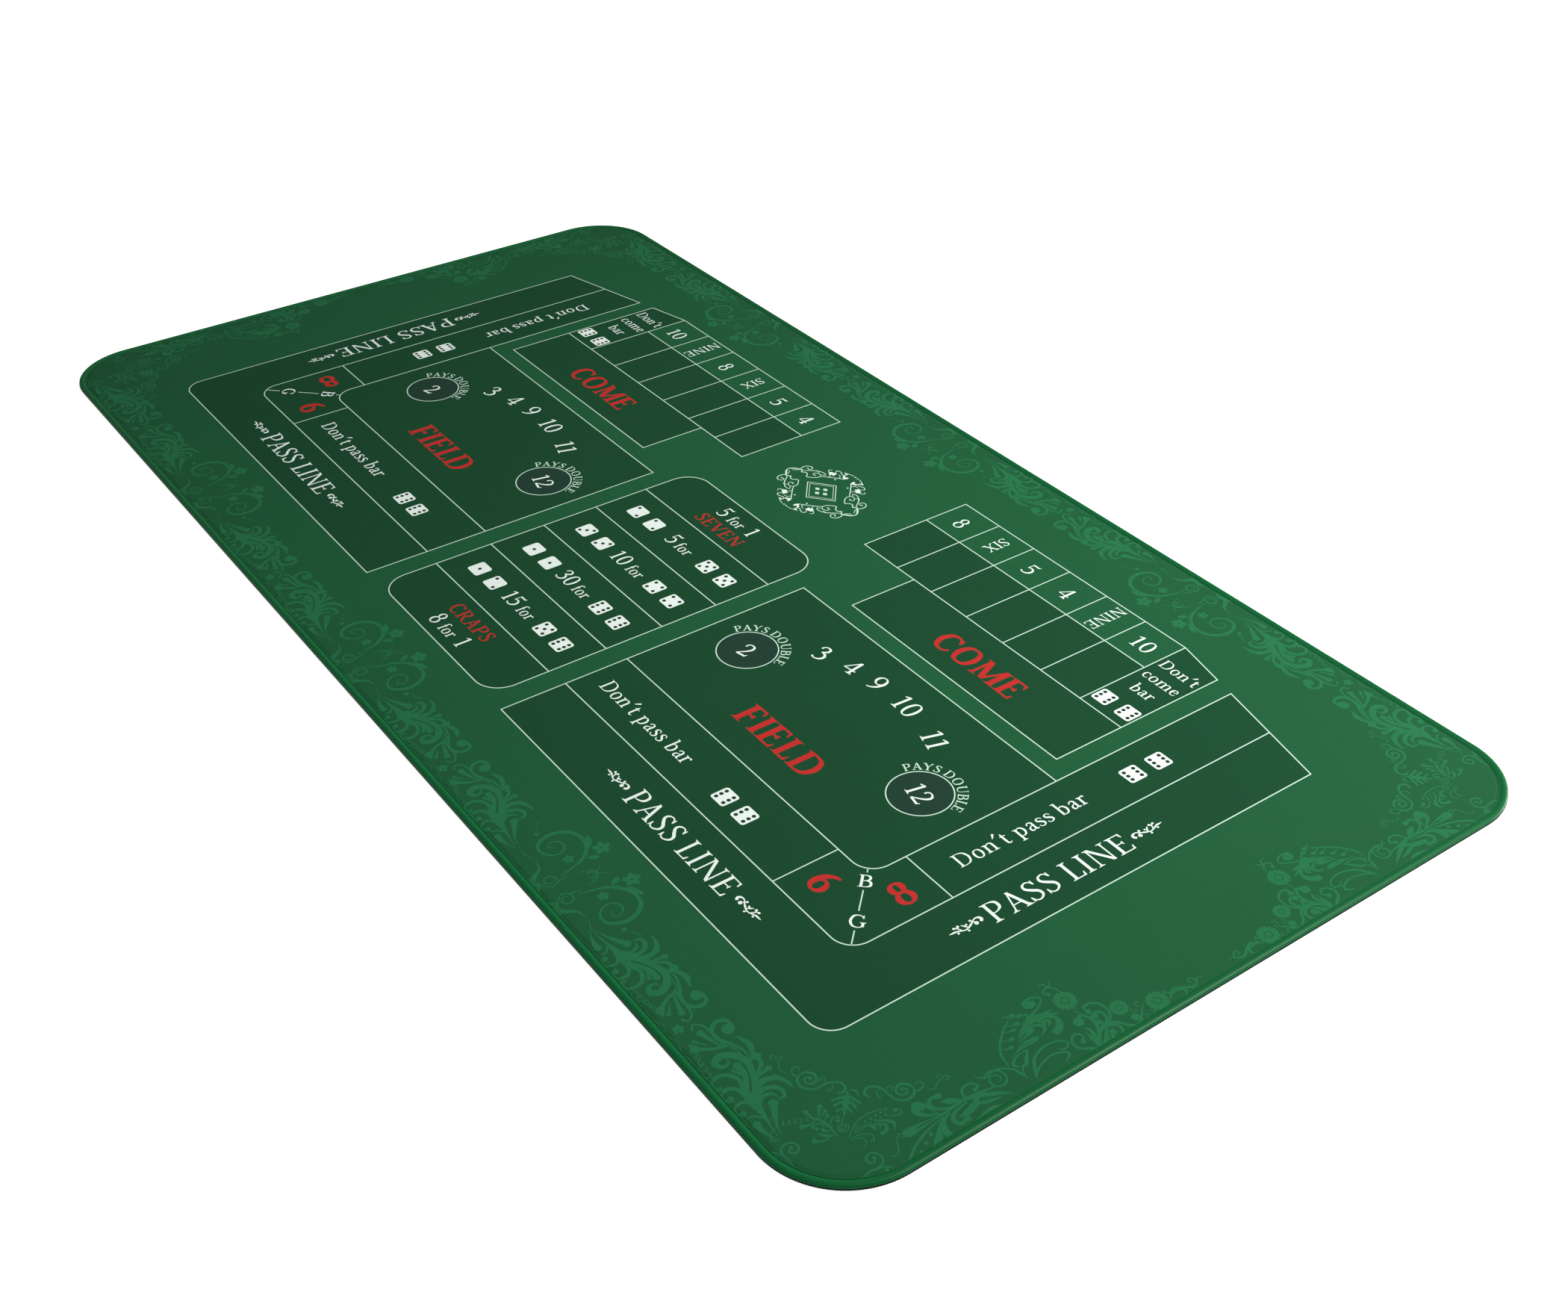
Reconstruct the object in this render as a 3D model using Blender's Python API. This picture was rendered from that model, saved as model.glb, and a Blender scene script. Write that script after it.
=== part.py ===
"""Roll-out craps layout: a printed cloth bonded to a rubber base, with an overlocked edge.

Metres, +Z up. The origin is on the underside, at the middle of the mat. +X runs along the
long side in the reading direction of the layout, and the player stands at -Y.
Every sub-part is described by how far in from the outer edge it lies ("inset") and by its
height, and is then carried round the rounded rectangle of the mat.
"""
import bpy
import bmesh
from math import cos, pi, sin

# Driving dimensions
MAT_LENGTH = 1.600
MAT_WIDTH = 0.800
CORNER_RADIUS = 0.079
CORNER_STEPS = 14

GAP = 0.0003

RUBBER_THICKNESS = 0.0023
FILM_THICKNESS = 0.0002
CLOTH_THICKNESS = 0.0005

# The sewn border: the stitches squeeze the layers together and hide their cut edge
CUT_EDGE_INSET = 0.0013
SQUEEZE = 0.0005
SQUEEZE_INNER_INSET = 0.0118
SQUEEZE_OUTER_INSET = 0.0086
SQUEEZE_STEPS = 4
UNDERSIDE_REBATE_INSET = 0.0080
UNDERSIDE_REBATE_HEIGHT = 0.0009
REBATE_RAMP = 0.0011

BEAD_WIDTH = 0.0074
BEAD_CREST_INSET = 0.0040
BEAD_RISE = 0.0009
BEAD_STEPS = 5
SIDE_THREAD = 0.0010
THREAD_SPLIT_HEIGHT = 0.0020

LOWER_THREAD_CLEARANCE = 0.0002
LOWER_THREAD_ROUNDING = 0.0008

NEEDLE_THREAD_RADIUS = 0.0003
NEEDLE_THREAD_SIDES = 8

# Heights that follow from the layers
FILM_BOTTOM = RUBBER_THICKNESS + GAP
FILM_TOP = FILM_BOTTOM + FILM_THICKNESS
CLOTH_BOTTOM = FILM_TOP + GAP
CLOTH_TOP = CLOTH_BOTTOM + CLOTH_THICKNESS
BORDER_TOP = CLOTH_TOP - SQUEEZE
BEAD_BOTTOM = BORDER_TOP + GAP
BEAD_TOP = BEAD_BOTTOM + BEAD_RISE


def clear_scene():
    for old in list(bpy.data.objects):
        bpy.data.objects.remove(old, do_unlink=True)


def make_material(name, color, roughness):
    material = bpy.data.materials.new(name)
    material.use_nodes = True
    shader = material.node_tree.nodes["Principled BSDF"]
    shader.inputs["Base Color"].default_value = (*color, 1.0)
    shader.inputs["Roughness"].default_value = roughness
    shader.inputs["Metallic"].default_value = 0.0
    return material


def outline(inset, height):
    """Points of the mat's rounded rectangle, moved inwards by the inset, anticlockwise."""
    centre_x = MAT_LENGTH / 2 - CORNER_RADIUS
    centre_y = MAT_WIDTH / 2 - CORNER_RADIUS
    radius = CORNER_RADIUS - inset
    points = []
    for quarter, (sign_x, sign_y) in enumerate(((1, 1), (-1, 1), (-1, -1), (1, -1))):
        for step in range(CORNER_STEPS + 1):
            angle = (quarter + step / CORNER_STEPS) * pi / 2
            x = sign_x * centre_x + radius * cos(angle)
            y = sign_y * centre_y + radius * sin(angle)
            points.append((x, y, height))
    return points


def build_from_profile(name, profile, closed, material):
    """Carry a profile of (inset, height) round the mat.

    A closed profile gives a ring. An open one runs from the top face to the underside,
    outwards and back in, and both faces are capped.
    """
    mesh_builder = bmesh.new()
    loops = []
    for inset, height in profile:
        loops.append([mesh_builder.verts.new(point) for point in outline(inset, height)])
    pairs = list(zip(loops, loops[1:]))
    if closed:
        pairs.append((loops[-1], loops[0]))
    for upper, lower in pairs:
        for index in range(len(upper)):
            after = (index + 1) % len(upper)
            mesh_builder.faces.new((upper[after], upper[index], lower[index], lower[after]))
    if not closed:
        mesh_builder.faces.new(loops[0])
        mesh_builder.faces.new(reversed(loops[-1]))
    bmesh.ops.recalc_face_normals(mesh_builder, faces=mesh_builder.faces)
    mesh = bpy.data.meshes.new(name)
    mesh_builder.to_mesh(mesh)
    mesh_builder.free()
    mesh.shade_smooth()
    mesh.set_sharp_from_angle(angle=pi / 5)
    mesh.materials.append(material)
    sub_part = bpy.data.objects.new(name, mesh)
    bpy.context.collection.objects.link(sub_part)
    return sub_part


def squeezed_face(field_height):
    """Profile of a face that is level in the field and pressed down under the stitches."""
    profile = []
    for step in range(SQUEEZE_STEPS + 1):
        share = step / SQUEEZE_STEPS
        inset = SQUEEZE_INNER_INSET + (SQUEEZE_OUTER_INSET - SQUEEZE_INNER_INSET) * share
        drop = SQUEEZE * (1 - cos(pi * share)) / 2
        profile.append((inset, field_height - drop))
    profile.append((CUT_EDGE_INSET, field_height - SQUEEZE))
    return profile


def make_rubber_base():
    """Rubber sheet with a shallow rebate under its border for the lower thread."""
    rebate_inner = UNDERSIDE_REBATE_INSET + REBATE_RAMP
    underside = [
        (CUT_EDGE_INSET, UNDERSIDE_REBATE_HEIGHT),
        (UNDERSIDE_REBATE_INSET, UNDERSIDE_REBATE_HEIGHT),
        (rebate_inner, 0.0),
    ]
    material = make_material("black_rubber", (0.012, 0.012, 0.013), 0.85)
    profile = squeezed_face(RUBBER_THICKNESS) + underside
    return build_from_profile("rubber_base", profile, False, material)


def make_layer(name, bottom, top, material):
    """Thin layer of even thickness that follows the squeezed border."""
    profile = squeezed_face(top) + list(reversed(squeezed_face(bottom)))
    return build_from_profile(name, profile, False, material)


def make_bonding_film():
    material = make_material("clear_adhesive", (0.62, 0.62, 0.55), 0.45)
    return make_layer("bonding_film", FILM_BOTTOM, FILM_TOP, material)


def make_printed_cloth():
    material = make_material("green_cloth", (0.022, 0.100, 0.042), 0.80)
    return make_layer("printed_cloth", CLOTH_BOTTOM, CLOTH_TOP, material)


def make_upper_looper_thread():
    """Rounded bead of thread over the border and down the upper half of the edge."""
    outer_rise = BEAD_TOP - THREAD_SPLIT_HEIGHT
    inner_run = BEAD_WIDTH - BEAD_CREST_INSET
    profile = []
    for step in range(BEAD_STEPS + 1):
        angle = step / BEAD_STEPS * pi / 2
        inset = BEAD_CREST_INSET * (1 - cos(angle))
        profile.append((inset, THREAD_SPLIT_HEIGHT + outer_rise * sin(angle)))
    for step in range(1, BEAD_STEPS + 1):
        angle = step / BEAD_STEPS * pi / 2
        inset = BEAD_CREST_INSET + inner_run * sin(angle)
        profile.append((inset, BEAD_BOTTOM + BEAD_RISE * cos(angle)))
    profile.append((SIDE_THREAD, BEAD_BOTTOM))
    profile.append((SIDE_THREAD, THREAD_SPLIT_HEIGHT))
    material = make_material("green_thread", (0.020, 0.130, 0.055), 0.45)
    return build_from_profile("upper_looper_thread", profile, True, material)


def make_lower_looper_thread():
    """Thread under the border and up the lower half of the edge."""
    top_of_side = THREAD_SPLIT_HEIGHT - GAP
    top_of_foot = UNDERSIDE_REBATE_HEIGHT - GAP
    profile = [(SIDE_THREAD, top_of_foot), (SIDE_THREAD, top_of_side), (0.0, top_of_side)]
    for step in range(BEAD_STEPS + 1):
        angle = step / BEAD_STEPS * pi / 2
        inset = LOWER_THREAD_ROUNDING * (1 - cos(angle))
        rise = LOWER_THREAD_ROUNDING * (1 - sin(angle))
        profile.append((inset, LOWER_THREAD_CLEARANCE + rise))
    profile.append((BEAD_WIDTH, LOWER_THREAD_CLEARANCE))
    profile.append((BEAD_WIDTH, top_of_foot))
    material = make_material("black_thread", (0.015, 0.030, 0.020), 0.55)
    return build_from_profile("lower_looper_thread", profile, True, material)


def make_needle_thread():
    """Line of stitches that holds both loopers, in the groove beside the bead."""
    centre_inset = BEAD_WIDTH + GAP + NEEDLE_THREAD_RADIUS
    centre_height = BORDER_TOP + GAP + NEEDLE_THREAD_RADIUS
    profile = []
    for side in range(NEEDLE_THREAD_SIDES):
        angle = 2 * pi * side / NEEDLE_THREAD_SIDES
        inset = centre_inset + NEEDLE_THREAD_RADIUS * cos(angle)
        profile.append((inset, centre_height + NEEDLE_THREAD_RADIUS * sin(angle)))
    material = make_material("green_needle_thread", (0.018, 0.110, 0.048), 0.50)
    return build_from_profile("needle_thread", profile, True, material)


def build_mat():
    clear_scene()
    make_rubber_base()
    make_bonding_film()
    make_printed_cloth()
    make_upper_looper_thread()
    make_lower_looper_thread()
    make_needle_thread()


build_mat()
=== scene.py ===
"""Looks of a roll-out craps layout: printed cloth on rubber, bound by an overlocked edge.

The print is drawn on a grid of 1800 by 900 units over the mat's length and width, with the
origin at the middle, X in the reading direction and Y away from the player. Its shapes are
laid over each other, cut into one flat net of triangles, and each ink becomes its own piece.
"""
from math import cos, hypot, pi, radians, sin, tan

import bpy
import numpy as np
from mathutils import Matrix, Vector
from mathutils.geometry import delaunay_2d_cdt


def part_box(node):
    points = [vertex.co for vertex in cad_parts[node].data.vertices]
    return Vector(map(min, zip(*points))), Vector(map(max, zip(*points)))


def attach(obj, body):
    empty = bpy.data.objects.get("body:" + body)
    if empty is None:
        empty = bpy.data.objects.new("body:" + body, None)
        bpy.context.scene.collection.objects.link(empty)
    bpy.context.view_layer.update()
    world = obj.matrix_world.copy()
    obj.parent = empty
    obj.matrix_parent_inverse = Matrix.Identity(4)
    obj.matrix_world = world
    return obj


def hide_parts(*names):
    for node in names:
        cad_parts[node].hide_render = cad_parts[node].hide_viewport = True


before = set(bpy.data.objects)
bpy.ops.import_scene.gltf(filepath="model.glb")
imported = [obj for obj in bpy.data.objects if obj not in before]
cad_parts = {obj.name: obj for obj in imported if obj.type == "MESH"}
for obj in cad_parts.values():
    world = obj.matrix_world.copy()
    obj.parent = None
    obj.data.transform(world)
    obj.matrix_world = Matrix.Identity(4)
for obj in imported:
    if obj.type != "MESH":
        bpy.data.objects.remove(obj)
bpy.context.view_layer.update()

# ---------------------------------------------------------------- sizes from the frame
_, CLOTH_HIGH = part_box("printed_cloth")
BEAD_LOW, BEAD_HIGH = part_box("upper_looper_thread")
UNDER_LOW, UNDER_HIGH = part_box("lower_looper_thread")
_, NEEDLE_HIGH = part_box("needle_thread")

MAT_LENGTH = BEAD_HIGH.x - BEAD_LOW.x
MAT_WIDTH = BEAD_HIGH.y - BEAD_LOW.y
UNIT = MAT_LENGTH / 1800
HALF_WIDTH = 450

CORNER_RADIUS = 0.079
CUT_EDGE_INSET = BEAD_HIGH.x - CLOTH_HIGH.x
SQUEEZE = 0.0005
SQUEEZE_INNER_INSET = 0.0118
SQUEEZE_OUTER_INSET = 0.0086
SQUEEZE_STEPS = 4
CLOTH_THICKNESS = 0.0005
FIELD_TOP = CLOTH_HIGH.z

# ---------------------------------------------------------------- the print's drawing tools
# Inks in the order in which they are laid: a later one covers an earlier one
INKS = ("ground", "ornament", "ground_over", "panel", "disc", "line", "red", "white", "pip")
LINE_WIDTH = 1.35
CURVE_STEPS = 5
VINE_STEPS = 4
BOWL_STEPS = 3
SMALL_ROUNDING = 10
drawing = []


def fill(ink, loop):
    """Lay one closed shape of ink on the drawing."""
    drawing.append((ink, loop))


def through(points, closed=False, steps=CURVE_STEPS):
    """A smooth line through the points, which may carry a third number such as a width."""
    knots = np.array(points, float)
    if closed:
        knots = np.vstack((knots[-1:], knots, knots[:2]))
    else:
        first = 2 * knots[0] - knots[1]
        last = 2 * knots[-1] - knots[-2]
        knots = np.vstack((first, knots, last))
    line = []
    for a, b, c, d in zip(knots, knots[1:], knots[2:], knots[3:]):
        for step in range(steps):
            t = step / steps
            bend = (2 * a - 5 * b + 4 * c - d) * t * t + (3 * b - a - 3 * c + d) * t ** 3
            line.append(b + 0.5 * ((c - a) * t + bend))
    if not closed:
        line.append(knots[-2])
    return line


def stroke(ink, line, closed=False):
    """Lay a line of (x, y, width), with mitred corners and square ends."""
    line = np.array(line, float)
    xy = line[:, :2]
    if closed:
        before = xy - np.roll(xy, 1, axis=0)
        after = np.roll(xy, -1, axis=0) - xy
    else:
        run = np.diff(xy, axis=0)
        before = np.vstack((run[:1], run))
        after = np.vstack((run, run[-1:]))
    normal_before = unit_normals(before)
    normal_after = unit_normals(after)
    normal = normal_before + normal_after
    normal /= np.maximum(np.linalg.norm(normal, axis=1, keepdims=True), 1e-9)
    mitre = np.maximum((normal * normal_after).sum(axis=1), 0.4)
    offset = normal * (line[:, 2] / 2 / mitre)[:, None]
    left = (xy + offset).tolist()
    right = (xy - offset).tolist()
    if closed:
        left.append(left[0])
        right.append(right[0])
    for a, b, c, d in zip(right, right[1:], left[1:], left):
        if signed_area((a, b, c)) > 0 and signed_area((a, c, d)) > 0:
            fill(ink, [a, b, c, d])
        else:
            fill(ink, [a, b, c])
            fill(ink, [a, c, d])


def unit_normals(runs):
    length = np.maximum(np.linalg.norm(runs, axis=1, keepdims=True), 1e-9)
    return np.column_stack((-runs[:, 1], runs[:, 0])) / length


def signed_area(loop):
    x, y = np.array(loop).T
    return 0.5 * float(np.dot(x, np.roll(y, -1)) - np.dot(y, np.roll(x, -1)))


def rounded(corners):
    """Closed loop through corners given as (x, y, radius), rounding each by an arc."""
    loop = []
    count = len(corners)
    for index, (x, y, radius) in enumerate(corners):
        if radius == 0:
            loop.append((x, y))
            continue
        here = Vector((x, y))
        back = Vector(corners[index - 1][:2]) - here
        ahead = Vector(corners[(index + 1) % count][:2]) - here
        turn = back.angle(ahead)
        start = here + back.normalized() * radius / tan(turn / 2)
        halfway = (back.normalized() + ahead.normalized()).normalized()
        middle = here + halfway * radius / sin(turn / 2)
        arm = start - middle
        side = 1 if back.cross(ahead) < 0 else -1
        sweep = (pi - turn) * side
        steps = 5 if radius < SMALL_ROUNDING else 14
        for step in range(steps + 1):
            angle = sweep * step / steps
            loop.append((
                middle.x + arm.x * cos(angle) - arm.y * sin(angle),
                middle.y + arm.x * sin(angle) + arm.y * cos(angle),
            ))
    return loop


def ellipse(x, y, radius_x, radius_y=None, *, sides):
    radius_y = radius_y or radius_x
    loop = []
    for side in range(sides):
        angle = 2 * pi * side / sides
        loop.append((x + radius_x * cos(angle), y + radius_y * sin(angle)))
    return loop


def rule(*points):
    """Straight printed line through the points."""
    stroke("line", [(x, y, LINE_WIDTH) for x, y in points])


def frame_line(loop, width=LINE_WIDTH):
    """Printed line round a closed loop."""
    stroke("line", [(x, y, width) for x, y in loop], closed=True)


# ---------------------------------------------------------------- lettering
# A generic book serif, drawn 100 units high. Each part of a letter is a tuple: its kind, then
# its numbers. A weight of 1 is a full stem and 0 a hairline.
STEM, BAR, DIAGONAL, ARM, CURVE, LOOP, BOWL, DOT, SLAB = range(9)
SLAB_LENGTH = 11
SLAB_HEIGHT = 4.5
BRACKET = 7
STRETCH = 1.2

LETTERS = {
    " ": (30, []),
    "A": (76, [
        (DIAGONAL, 12, 0, 37, 100, 0.15), (DIAGONAL, 36, 100, 65, 0, 1), (BAR, 20, 57, 34),
        (SLAB, 12, 0, 1, 0.1), (SLAB, 65, 0, 1, 0.9),
    ]),
    "B": (74, [
        (STEM, 18, 0, 100, "l", "l"),
        (CURVE, [(14, 97, 0), (36, 97, 0), (54, 88, 0.8), (55, 66, 0.8), (38, 53, 0), (16, 52, 0)]),
        (CURVE, [(16, 52, 0), (42, 52, 0), (60, 43, 0.9), (62, 15, 0.9), (42, 3, 0), (14, 3, 0)]),
    ]),
    "C": (78, [
        (CURVE, [
            (69, 76, 0), (62, 91, 0.1), (46, 98, 0.1), (25, 88, 0.7), (14, 50, 1),
            (25, 14, 0.7), (47, 2, 0.1), (63, 8, 0.1), (73, 21, 0),
        ]),
        (DIAGONAL, 69, 98, 70, 72, 0),
    ]),
    "D": (88, [
        (STEM, 18, 0, 100, "l", "l"),
        (CURVE, [
            (14, 97, 0), (40, 97, 0), (64, 86, 0.6), (75, 50, 1),
            (64, 14, 0.6), (40, 3, 0), (14, 3, 0),
        ]),
    ]),
    "E": (70, [
        (STEM, 18, 0, 100, "l", "l"), (ARM, 14, 60, 97, -1), (BAR, 18, 46, 52),
        (DIAGONAL, 46, 61, 46, 43, 0), (ARM, 14, 64, 3, 1),
    ]),
    "F": (64, [
        (STEM, 18, 0, 100, "lr", "l"), (ARM, 14, 58, 97, -1), (BAR, 18, 45, 50),
        (DIAGONAL, 45, 59, 45, 41, 0),
    ]),
    "G": (88, [
        (CURVE, [
            (72, 76, 0), (64, 91, 0.1), (47, 98, 0.1), (25, 88, 0.7), (14, 50, 1),
            (25, 14, 0.7), (47, 2, 0.1), (62, 5, 0.1), (72, 12, 0.2),
        ]),
        (DIAGONAL, 72, 98, 73, 72, 0), (STEM, 73, 8, 43, "", "lr"),
    ]),
    "I": (36, [(STEM, 18, 0, 100, "lr", "lr")]),
    "L": (60, [(STEM, 18, 0, 100, "l", "lr"), (ARM, 14, 56, 3, 1)]),
    "M": (108, [
        (STEM, 17, 0, 100, "lr", "l", 0.2), (STEM, 90, 0, 100, "lr", "r"),
        (DIAGONAL, 19, 100, 53, 4, 0.9), (DIAGONAL, 53, 4, 88, 100, 0.15),
    ]),
    "N": (92, [
        (STEM, 18, 0, 100, "lr", "l", 0.2), (STEM, 75, 0, 100, "", "lr", 0.2),
        (DIAGONAL, 20, 100, 73, 2, 0.9),
    ]),
    "O": (92, [(LOOP, [
        (46, 98, 0.1), (24, 88, 0.6), (14, 50, 1), (24, 12, 0.6),
        (46, 2, 0.1), (68, 12, 0.6), (78, 50, 1), (68, 88, 0.6),
    ])]),
    "P": (68, [
        (STEM, 18, 0, 100, "lr", "l"),
        (CURVE, [(14, 97, 0), (36, 97, 0), (55, 87, 0.8), (56, 60, 0.8), (38, 46, 0), (18, 45, 0)]),
    ]),
    "R": (80, [
        (STEM, 18, 0, 100, "lr", "l"),
        (CURVE, [(14, 97, 0), (36, 97, 0), (54, 88, 0.8), (55, 63, 0.8), (38, 50, 0), (18, 49, 0)]),
        (CURVE, [(36, 51, 0.5), (50, 30, 0.9), (63, 8, 0.8), (78, 2, 0.1)]),
    ]),
    "S": (60, [
        (CURVE, [
            (50, 77, 0), (44, 92, 0.1), (32, 98, 0.1), (17, 90, 0.5), (15, 72, 0.8), (30, 54, 1),
            (46, 39, 1), (49, 20, 0.7), (38, 6, 0.3), (25, 2, 0.1), (14, 8, 0.1), (8, 24, 0),
        ]),
        (DIAGONAL, 50, 98, 51, 75, 0), (DIAGONAL, 8, 27, 8, 1, 0),
    ]),
    "U": (88, [
        (CURVE, [(19, 97, 1), (19, 60, 1), (20, 28, 1), (29, 9, 0.6), (46, 2, 0.3),
                 (64, 9, 0.1), (71, 28, 0.1), (72, 60, 0.1), (72, 97, 0.1)]),
        (SLAB, 19, 100, -1, 1), (SLAB, 72, 100, -1, 0.1),
    ]),
    "V": (84, [
        (DIAGONAL, 12, 100, 44, 0, 1), (DIAGONAL, 44, 0, 72, 100, 0.15),
        (SLAB, 12, 100, -1, 0.9), (SLAB, 72, 100, -1, 0.1),
    ]),
    "X": (84, [
        (DIAGONAL, 15, 100, 69, 0, 1), (DIAGONAL, 15, 0, 67, 100, 0.15),
        (SLAB, 15, 100, -1, 0.9), (SLAB, 67, 100, -1, 0.1),
        (SLAB, 69, 0, 1, 0.9), (SLAB, 15, 0, 1, 0.1),
    ]),
    "Y": (80, [
        (DIAGONAL, 11, 100, 40, 46, 1), (DIAGONAL, 69, 100, 41, 46, 0.15), (STEM, 40, 0, 48, "lr", ""),
        (SLAB, 11, 100, -1, 0.9), (SLAB, 69, 100, -1, 0.1),
    ]),
    "a": (56, [
        (CURVE, [(13, 52, 0.3), (18, 62, 0.2), (29, 65, 0.3), (38, 57, 0.8), (39, 40, 0.9),
                 (39, 14, 0.9), (43, 4, 0.5), (54, 5, 0)]),
        (CURVE, [(38, 40, 0), (24, 34, 0.1), (13, 22, 0.7), (15, 6, 0.7), (26, 3, 0.2), (38, 12, 0)]),
        (DOT, 14, 54, 5),
    ]),
    "b": (65, [
        (STEM, 16, 0, 106, "", "l"),
        (CURVE, [(16, 50, 0), (30, 64, 0.2), (46, 58, 0.7), (53, 34, 1), (45, 9, 0.7),
                 (29, 2, 0.1), (14, 6, 0)]),
    ]),
    "c": (53, [
        (CURVE, [(46, 53, 0.3), (39, 63, 0.2), (29, 65, 0.1), (16, 55, 0.7), (12, 33, 1),
                 (18, 10, 0.7), (31, 2, 0.1), (42, 6, 0.1), (49, 15, 0)]),
        (DOT, 44, 54, 5),
    ]),
    "e": (57, [
        (CURVE, [(12, 38, 0), (44, 38, 0), (45, 52, 0.6), (39, 62, 0.4), (29, 65, 0.1),
                 (16, 55, 0.7), (12, 33, 1), (18, 10, 0.7), (32, 2, 0.1), (43, 6, 0.1), (51, 15, 0)]),
    ]),
    "f": (38, [
        (STEM, 17, 0, 82, "lr", ""),
        (CURVE, [(17, 78, 1), (18, 94, 0.7), (27, 105, 0.2), (38, 104, 0.2)]),
        (DOT, 39, 99, 5), (BAR, 5, 34, 64),
    ]),
    "m": (104, [
        (STEM, 17, 0, 66, "lr", "l"), (STEM, 52, 0, 46, "lr", ""), (STEM, 87, 0, 46, "lr", ""),
        (CURVE, [(17, 50, 0), (28, 61, 0.2), (40, 65, 0.3), (50, 58, 0.8), (52, 42, 1)]),
        (CURVE, [(52, 50, 0), (63, 61, 0.2), (75, 65, 0.3), (85, 58, 0.8), (87, 42, 1)]),
    ]),
    "n": (70, [
        (STEM, 17, 0, 66, "lr", "l"), (STEM, 53, 0, 46, "lr", ""),
        (CURVE, [(17, 50, 0), (29, 61, 0.2), (41, 65, 0.3), (51, 58, 0.8), (53, 42, 1)]),
    ]),
    "o": (64, [(LOOP, [
        (32, 65, 0.1), (18, 58, 0.6), (12, 33, 1), (18, 8, 0.6),
        (32, 1, 0.1), (46, 8, 0.6), (52, 33, 1), (46, 58, 0.6),
    ])]),
    "p": (66, [
        (STEM, 17, -30, 66, "lr", "l"),
        (CURVE, [(17, 50, 0), (31, 64, 0.2), (47, 58, 0.7), (54, 34, 1), (46, 9, 0.7),
                 (31, 2, 0.1), (17, 8, 0)]),
    ]),
    "r": (47, [
        (STEM, 17, 0, 66, "lr", "l"),
        (CURVE, [(17, 48, 0), (26, 60, 0.2), (36, 65, 0.3), (43, 62, 0.4)]), (DOT, 41, 59, 5.5),
    ]),
    "s": (47, [
        (CURVE, [(39, 51, 0), (34, 62, 0.1), (24, 65, 0.1), (13, 59, 0.5), (13, 46, 0.8), (25, 36, 1),
                 (36, 26, 1), (38, 12, 0.7), (29, 3, 0.3), (20, 1, 0.1), (11, 5, 0.1), (7, 16, 0)]),
    ]),
    "t": (42, [
        (CURVE, [(17, 84, 0.2), (17, 62, 1), (17, 22, 1), (19, 7, 0.7), (27, 2, 0.3), (38, 7, 0)]),
        (BAR, 5, 36, 64),
    ]),
    "´": (30, [(CURVE, [(6, 78, 0.1), (15, 92, 0.6), (25, 108, 1.2)])]),
    "0": (66, [(LOOP, [
        (33, 95, 0.1), (18, 83, 0.7), (12, 48, 1), (18, 13, 0.7),
        (33, 1, 0.1), (48, 13, 0.7), (54, 48, 1), (48, 83, 0.7),
    ])]),
    "1": (50, [(STEM, 27, 0, 96, "lr", ""), (DIAGONAL, 8, 82, 27, 93, 0.2)]),
    "2": (62, [
        (CURVE, [(10, 74, 0.3), (16, 90, 0.3), (30, 95, 0.3), (46, 85, 0.8), (47, 64, 0.9),
                 (34, 38, 0.5), (12, 10, 0.1)]),
        (DOT, 12, 73, 5), (DIAGONAL, 8, 6, 54, 6, 0.8), (DIAGONAL, 51, 6, 57, 20, 0),
    ]),
    "3": (60, [
        (CURVE, [(11, 80, 0.3), (19, 92, 0.2), (31, 95, 0.3), (44, 86, 0.8), (43, 68, 0.8),
                 (24, 53, 0)]),
        (CURVE, [(24, 54, 0), (42, 47, 0.7), (51, 28, 1), (42, 8, 0.7), (24, 1, 0.2), (8, 8, 0.3)]),
        (DOT, 12, 79, 5), (DOT, 10, 9, 5),
    ]),
    "4": (64, [
        (STEM, 44, 0, 95, "lr", ""), (DIAGONAL, 43, 95, 7, 29, 0.1), (DIAGONAL, 4, 28, 60, 28, 0.15),
    ]),
    "5": (60, [
        (DIAGONAL, 16, 90, 52, 90, 0.6), (DIAGONAL, 50, 88, 55, 99, 0), (DIAGONAL, 18, 92, 15, 50, 0),
        (CURVE, [(15, 51, 0), (30, 58, 0.4), (46, 50, 0.8), (51, 29, 1), (42, 9, 0.7),
                 (24, 1, 0.2), (8, 7, 0.3)]), (DOT, 10, 8, 5),
    ]),
    "6": (64, [
        (CURVE, [(53, 94, 0), (38, 89, 0.3), (21, 70, 0.8), (12, 42, 1), (12, 28, 1)]),
        (BOWL, 32, 28, 20, 27),
    ]),
    "8": (64, [(BOWL, 32, 73, 16, 22), (BOWL, 32, 26, 20, 26)]),
    "9": (64, [
        (CURVE, [(11, 2, 0), (26, 7, 0.3), (43, 26, 0.8), (52, 54, 1), (52, 68, 1)]),
        (BOWL, 32, 68, 20, 27),
    ]),
}


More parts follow.
